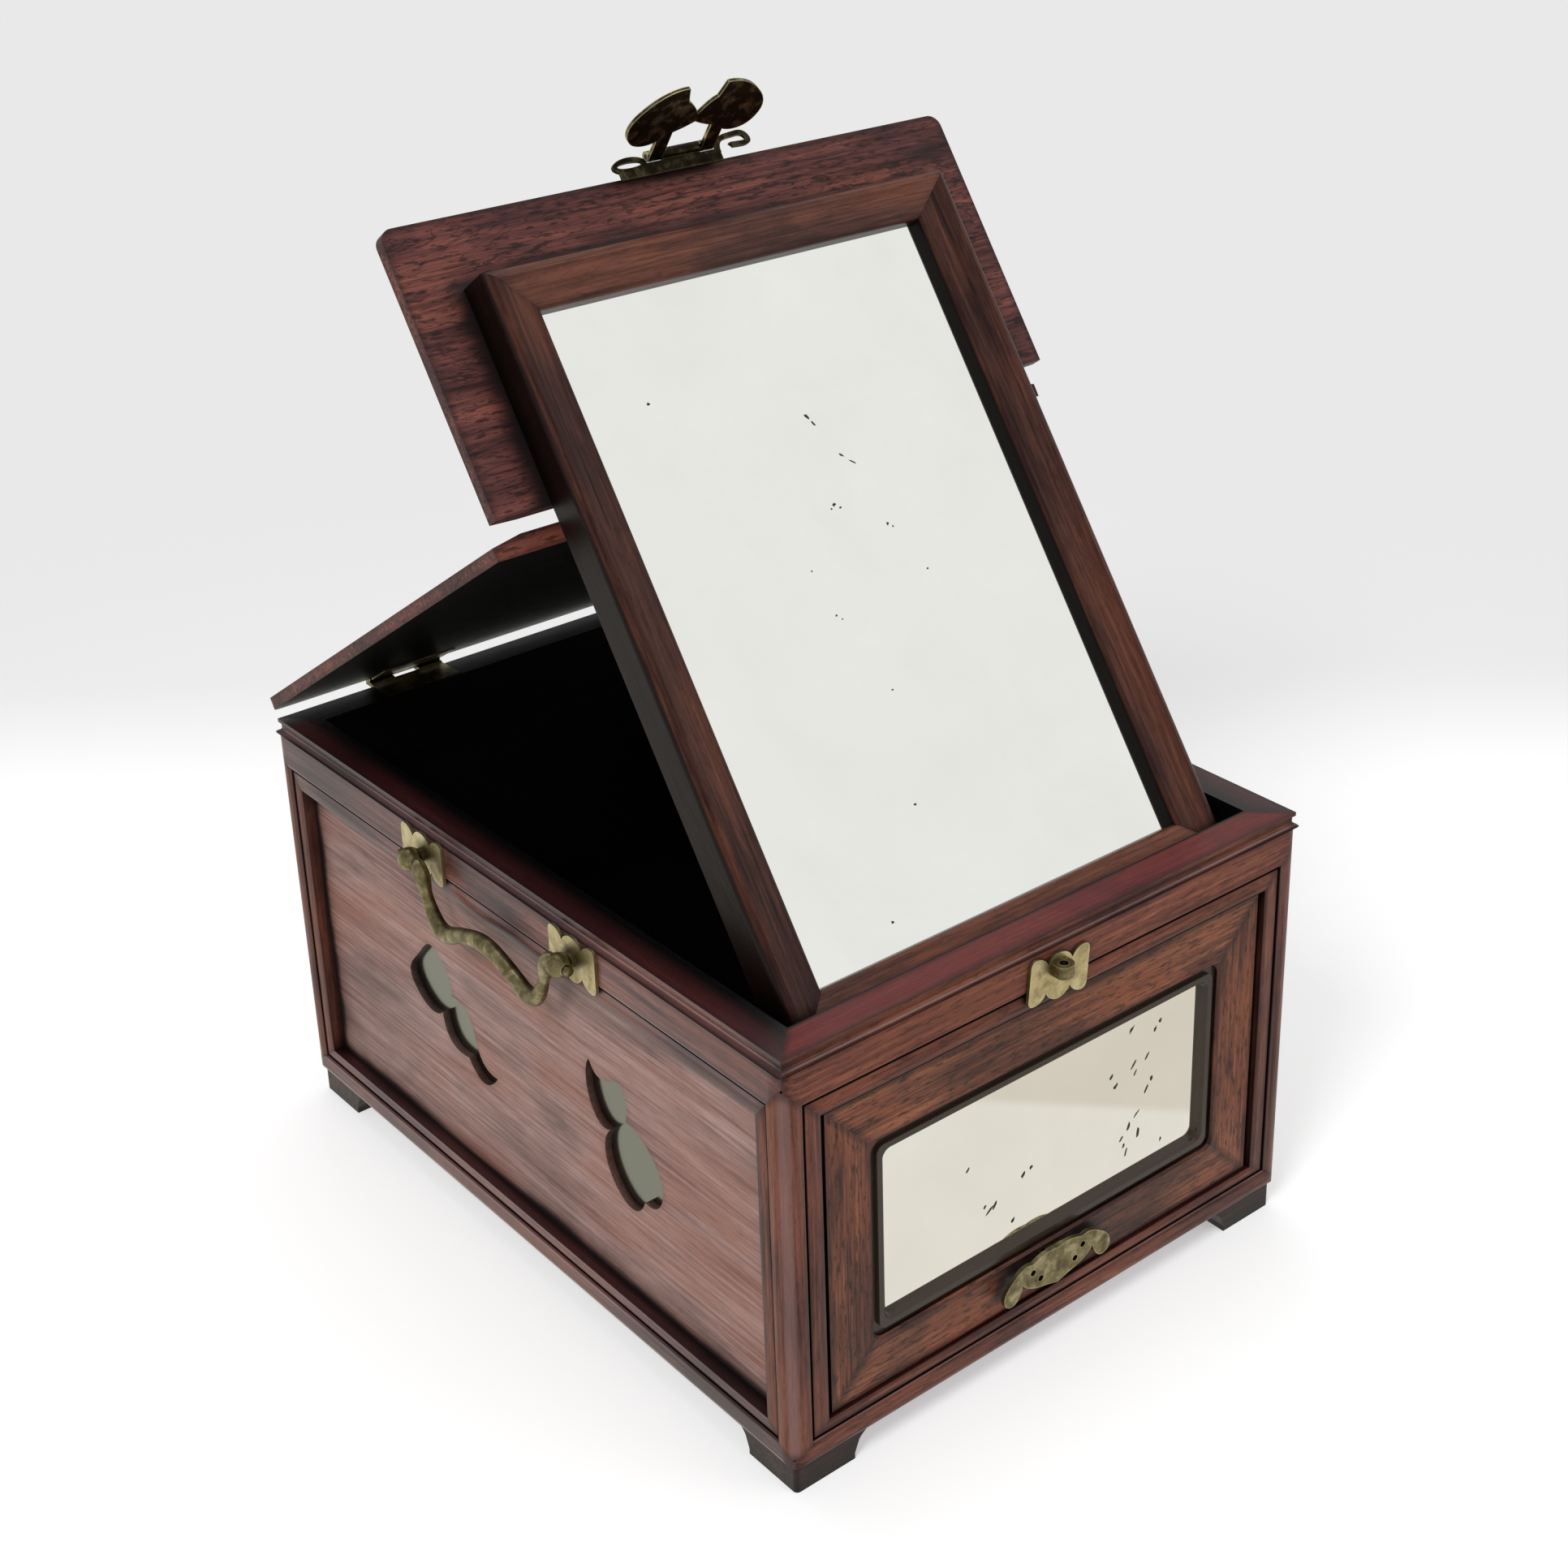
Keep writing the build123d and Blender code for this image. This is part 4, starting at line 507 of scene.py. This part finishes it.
SURFACES = {
    back_board: ("back_panel",),
    rear_board: ("lid_rear_leaf",),
    frame_x: ("top_rail_front", "top_rail_back", "bottom_rail_front", "bottom_rail_back"),
    frame_y: ("top_rail_left", "top_rail_right", "bottom_rail_left", "bottom_rail_right"),
    frame_z: ("post_front_left", "post_front_right", "post_back_left", "post_back_right"),
    lit_side_panel: ("side_panel_left", "side_panel_right"),
    panel_x: ("lid_front_leaf",),
    mirror_side: ("mirror_frame_left", "mirror_frame_right"),
    mirror_end: ("mirror_frame_top", "mirror_frame_foot"),
    drawer_x: ("drawer_front_top", "drawer_front_bottom"),
    drawer_z: ("drawer_front_left", "drawer_front_right"),
    inside: (
        "compartment_floor",
        "compartment_front",
        "bottom_board",
        "drawer_guides",
        "drawer_side_left",
        "drawer_side_right",
        "drawer_back",
        "drawer_bottom",
    ),
    footing: ("foot_front_left", "foot_front_right", "foot_back_left", "foot_back_right"),
    liner: ("drawer_liner",),
    lacquer: ("drawer_backing", "mirror_backboard"),
    mirror_big: ("mirror_glass",),
    mirror_small: ("drawer_mirror",),
    mirror_dim: ("side_mirror_left", "side_mirror_right"),
    plate_brass: ("handle_plates", "staple_plate"),
    brass: (
        "bail_left",
        "bail_right",
        "handle_posts",
        "staple",
        "hinge_leaves_case",
        "hinge_leaves_lid",
        "fold_hinge_leaves_rear",
        "fold_hinge_leaves_front",
        "hinge_pins",
        "bat_pull",
        "bat_pull_pin",
    ),
    bronze: ("hasp_plate",),
    black_bronze: ("hasp_base", "hasp_pin"),
}


def dress():
    for surface, names in SURFACES.items():
        for name in names:
            slots = nodes[name].data.materials
            slots.clear()
            slots.append(surface)
    bare = set(nodes) - {name for names in SURFACES.values() for name in names}
    assert not bare, f"nodes with no material: {sorted(bare)}"


# Pieces built here --------------------------------------------------------------------

BAIL_HALF = (  # along the bail from its end to its middle: y, z, half width, half thickness, mm
    (44.8, 0.0, 1.4, 1.4),
    (37.5, 0.0, 1.4, 1.4),
    (35.0, -0.4, 2.5, 2.1),
    (33.0, -3.6, 2.9, 2.4),
    (31.2, -8.5, 1.7, 1.7),
    (28.9, -13.6, 2.1, 2.1),
    (25.6, -17.2, 2.7, 2.4),
    (20.5, -17.7, 2.8, 2.4),
    (11.0, -13.8, 2.4, 2.3),
    (0.0, -11.6, 2.8, 2.4),
)
RING_SIDES, RUN_STEPS = 20, 6
SPECK_SIDES = 9
SPECK_T = 0.00004
SPECK_LIFT = 0.25  # of its thickness, off the glass
SPECK_WOBBLE = (0.6, 1.25)  # least and most of its size, corner by corner
MIRROR_SPECKS = (  # x, place along the leaf, long and short half sizes in mm, turn in degrees
    (-45, 20, 0.5, 0.4, 0), (3.0, 4.2, 1.1, 0.5, -60), (4.2, 2.0, 0.9, 0.35, -60),
    (9, -9, 1.2, 0.3, -40), (12, -12, 1.4, 0.25, -40), (0, -22, 0.8, 0.6, 20),
    (1.6, -23.4, 0.4, 0.3, 0), (-1.4, -23.0, 0.35, 0.3, 0), (15, -32, 0.6, 0.45, 50),
    (16.4, -33.2, 0.35, 0.3, 0), (-16, -38, 0.35, 0.3, 0), (-14, -52, 0.4, 0.35, 0),
    (-12.6, -53.5, 0.3, 0.25, 0), (22, -48, 0.4, 0.3, 0), (-6, -77, 0.4, 0.3, 0),
    (-14, -109, 0.5, 0.35, 0), (-36, -136, 0.5, 0.4, 0),
)
DRAWER_SPECKS = (  # x, height
    (-30.5, 74), (-9, 62), (-6, 63), (-24, 58), (-22, 56), (34, 92), (46, 90), (35, 79), (36, 76),
    (41, 80), (41, 68), (34, 58), (31, 55), (38, 54), (33, 49), (-13, 48), (48, 47), (26, 79),
    (19, 97), (44, 88), (43, 71), (37, 61), (32, 52), (28, 75), (-20, 57),
)
# Least and most of a spot's long and short half sizes in mm and of its turn in degrees
DRAWER_SPREAD = ((0.8, 1.9), (0.35, 0.7), (30, 80))


def add_piece(name, shape, surface, body):
    mesh = bpy.data.meshes.new(name)
    bmesh.ops.recalc_face_normals(shape, faces=shape.faces)
    shape.to_mesh(mesh)
    shape.free()
    for face in mesh.polygons:
        face.use_smooth = True
    mesh.materials.append(surface)
    piece = bpy.data.objects.new(name, mesh)
    bpy.context.scene.collection.objects.link(piece)
    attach(piece, body)
    return piece


def smooth_run(points, steps):
    """Points on a smooth line through the given ones."""
    points = [Vector(point) for point in points]
    padded = [points[0], *points, points[-1]]
    run = []
    for a, b, c, d in zip(padded, padded[1:], padded[2:], padded[3:]):
        for step in range(steps):
            t = step / steps
            bend, twist = 2 * a - 5 * b + 4 * c - d, 3 * b - a - 3 * c + d
            run.append((2 * b + (c - a) * t + bend * t**2 + twist * t**3) / 2)
    return [*run, points[-1]]


def add_bail(side):
    """The hand-worked bail: thick at its bends, thin at its necks."""
    axis = Vector(joints[f"bail_{side}_swing"]["pos_m"])
    other = [(-y, *rest) for y, *rest in reversed(BAIL_HALF[:-1])]
    run = smooth_run([*BAIL_HALF, *other], RUN_STEPS)
    shape, rings = bmesh.new(), []
    for before, here, after in zip([run[0], *run], run, [*run[1:], run[-1]]):
        ahead = (after - before).to_2d().normalized()
        across = Vector((0, -ahead.y, ahead.x))
        centre = axis + Vector((0, here[0], here[1])) * MM
        ring = []
        for i in range(RING_SIDES):
            turn = math.tau * i / RING_SIDES
            off = across * math.cos(turn) * here[2] + Vector((1, 0, 0)) * math.sin(turn) * here[3]
            ring.append(shape.verts.new(centre + off * MM))
        rings.append(ring)
    for ring, following in zip(rings, rings[1:]):
        for i in range(RING_SIDES):
            j = (i + 1) % RING_SIDES
            shape.faces.new((ring[i], ring[j], following[j], following[i]))
    shape.faces.new(rings[0])
    shape.faces.new(rings[-1])
    piece = add_piece(f"bail_{side}_forged", shape, brass, f"bail_{side}")
    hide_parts(f"bail_{side}")


def add_specks(name, body, glass, along, origin, specks):
    """Small thin spots where the silver has gone, just in front of a mirror."""
    spread = random.Random(name)
    across = Vector((1, 0, 0))
    out = across.cross(along)
    corners = [nodes[glass].matrix_world @ v.co for v in nodes[glass].data.vertices]
    front = max((corner - origin).dot(out) for corner in corners)
    shape = bmesh.new()
    for x, s, length, width, turn in specks:
        lean = Matrix.Rotation(math.radians(turn), 2)
        centre = origin + across * x * MM + along * s * MM + out * front
        rings = ([], [])
        for i in range(SPECK_SIDES):
            angle = math.tau * i / SPECK_SIDES
            size = spread.uniform(*SPECK_WOBBLE)
            flat = lean @ Vector((math.cos(angle) * length, math.sin(angle) * width)) * size * MM
            corner = centre + across * flat.x + along * flat.y
            for ring, height in zip(rings, (SPECK_LIFT * SPECK_T, SPECK_T)):
                ring.append(shape.verts.new(corner + out * height))
        for i in range(SPECK_SIDES):
            j = (i + 1) % SPECK_SIDES
            shape.faces.new((rings[0][i], rings[0][j], rings[1][j], rings[1][i]))
        shape.faces.new(rings[0])
        shape.faces.new(rings[1])
    add_piece(name, shape, tarnish, body)


def add_all_specks():
    add_specks("mirror_specks", "front_leaf", "mirror_glass", UP_LEAF, FOLD, MIRROR_SPECKS)
    spread = random.Random("drawer")
    specks = [
        (*spot, *(spread.uniform(*limits) for limits in DRAWER_SPREAD)) for spot in DRAWER_SPECKS
    ]
    up, origin = Vector((0, 0, 1)), Vector((0, 0, 0))
    add_specks("drawer_specks", "drawer", "drawer_mirror", up, origin, specks)


# Stage and light ----------------------------------------------------------------------

WORLD_LEVEL = 0.42
LAMPS = {  # place, size, watts, whether it shows in reflections
    "key": ((-1.4, -0.7, 1.6), 0.7, 24, False),
    "fill": ((1.0, -1.6, 1.0), 1.2, 7, False),
    "top": ((0.2, 0.5, 2.0), 1.2, 9, True),
}
LAMPS_AIM = Vector((0, 0, 0.1))
LIT_SHARE = 0.7  # of the floor's tone near the object, as its own colour
LAMP_SHARE = 0.85  # the part of the lit share that the lamps give
FLOOR_R = 5.0
FLOOR_SIDES = 96
FLOOR_BOUNCE = (0.75, 0.75, 0.75)  # what the floor throws back at the object
BLACK = (0.0, 0.0, 0.0)
NEAR_TONE = srgb(255, 255, 255)
FAR_TONE = srgb(233, 233, 233)
GREY_TONE = srgb(226, 221, 211)  # the darker far floor that the drawer's mirror shows
BRIGHT_TONE = srgb(240, 239, 232)
FAR_AT = (0.22, 0.38)  # where the floor turns from its near to its far tone, in depth
# The line on the floor that shows as a horizon in the drawer's mirror
HORIZON_ACROSS, HORIZON_AT, HORIZON_SOFT = (0.7246, -0.6891), 0.200, 0.007
NEAR_R, FAR_R = 0.35, 0.75  # where the floor's own light takes over from the lamps
MIRROR_SEES = (0.587, -0.628, 0.510)  # where the standing mirror looks
WALL_AT, WALL_LEVELS = (0.70, 0.90), (0.52, 0.90)
WALL_TONE = (1, 1, 0.985, 1)


def add_floor():
    """A white floor that greys with depth; near the object the lamps light a part of it."""
    shader = Shader("floor_white")
    place = shader.place()
    azimuth = math.radians(CAMERA_AZIMUTH)
    depth = shader.dot(place, (math.sin(azimuth), math.cos(azimuth), 0))
    tone = shader.mix(shader.fade(depth, *FAR_AT), NEAR_TONE, FAR_TONE)
    line = shader.dot(place, (*HORIZON_ACROSS, 0))
    beyond = shader.fade(line, HORIZON_AT, HORIZON_AT + HORIZON_SOFT)
    distance = shader.add("VectorMath", {0: place}, out="Value", operation="LENGTH")
    lit = shader.math("MULTIPLY", shader.fade(distance, NEAR_R, FAR_R, 1.0, 0.0), LIT_SHARE)
    own = shader.math("SUBTRACT", 1.0, shader.math("MULTIPLY", lit, LAMP_SHARE))
    paths = shader.tree.nodes.new("ShaderNodeLightPath").outputs
    shown = shader.mix(beyond, BRIGHT_TONE, GREY_TONE)
    glow = shader.mix(paths["Is Glossy Ray"], shader.mix(own, BLACK, tone), shown)
    seen = shader.mix(paths["Is Glossy Ray"], shader.mix(lit, BLACK, tone), BLACK)
    direct = shader.math("MAXIMUM", paths["Is Camera Ray"], paths["Is Glossy Ray"])
    shader.set(Base_Color=shader.mix(direct, FLOOR_BOUNCE, seen), Roughness=0.9)
    shader.set(Specular_IOR_Level=0.0, Emission_Color=glow, Emission_Strength=direct)
    mesh = bpy.data.meshes.new("floor")
    shape = bmesh.new()
    bmesh.ops.create_circle(shape, cap_ends=True, segments=FLOOR_SIDES, radius=FLOOR_R)
    shape.to_mesh(mesh)
    shape.free()
    mesh.materials.append(shader.material)
    floor = bpy.data.objects.new("floor", mesh)
    bpy.context.scene.collection.objects.link(floor)


def add_world():
    """Even light, and for reflections a pale wall in front of the mirror and dim ones round it."""
    world = bpy.data.worlds.new("studio")
    bpy.context.scene.world = world
    world.use_nodes = True
    tree = world.node_tree
    tree.nodes.clear()

    def add(kind, inputs=(), **settings):
        node = tree.nodes.new("ShaderNode" + kind)
        for key, value in settings.items():
            setattr(node, key, value)
        for key, value in dict(inputs).items():
            if isinstance(value, bpy.types.NodeSocket):
                tree.links.new(value, node.inputs[key])
            else:
                node.inputs[key].default_value = value
        return node

    paths = add("LightPath").outputs
    direction = add("TexCoord").outputs["Generated"]
    toward = add("VectorMath", {0: direction, 1: MIRROR_SEES}, operation="DOT_PRODUCT")
    limits = zip(("From Min", "From Max", "To Min", "To Max"), (*WALL_AT, *WALL_LEVELS))
    inputs = {"Value": toward.outputs["Value"], **dict(limits)}
    wall = add("MapRange", inputs, interpolation_type="SMOOTHSTEP").outputs["Result"]
    light = add("Background", {"Color": (1, 1, 1, 1), "Strength": WORLD_LEVEL})
    mirrored = add("Background", {"Color": WALL_TONE, "Strength": wall})
    backdrop = add("Background", {"Color": (*FAR_TONE, 1), "Strength": 1.0})
    surface = light.outputs[0]
    for path, other in (("Is Glossy Ray", mirrored), ("Is Camera Ray", backdrop)):
        surface = add("MixShader", {0: paths[path], 1: surface, 2: other.outputs[0]}).outputs[0]
    add("OutputWorld", {"Surface": surface})


def add_lamp(name, at, size, watts, shows):
    data = bpy.data.lights.new(name, "AREA")
    data.shape = "DISK"
    data.size = size
    data.energy = watts
    lamp = bpy.data.objects.new(name, data)
    lamp.location = at
    lamp.visible_glossy = shows
    lamp.rotation_euler = (LAMPS_AIM - Vector(at)).to_track_quat("-Z", "Y").to_euler()
    bpy.context.scene.collection.objects.link(lamp)


add_camera()
add_floor()
add_world()
for name, lamp in LAMPS.items():
    add_lamp(name, *lamp)
dress()
for side in ("left", "right"):
    add_bail(side)
add_all_specks()

bpy.context.scene.view_settings.view_transform = "Standard"
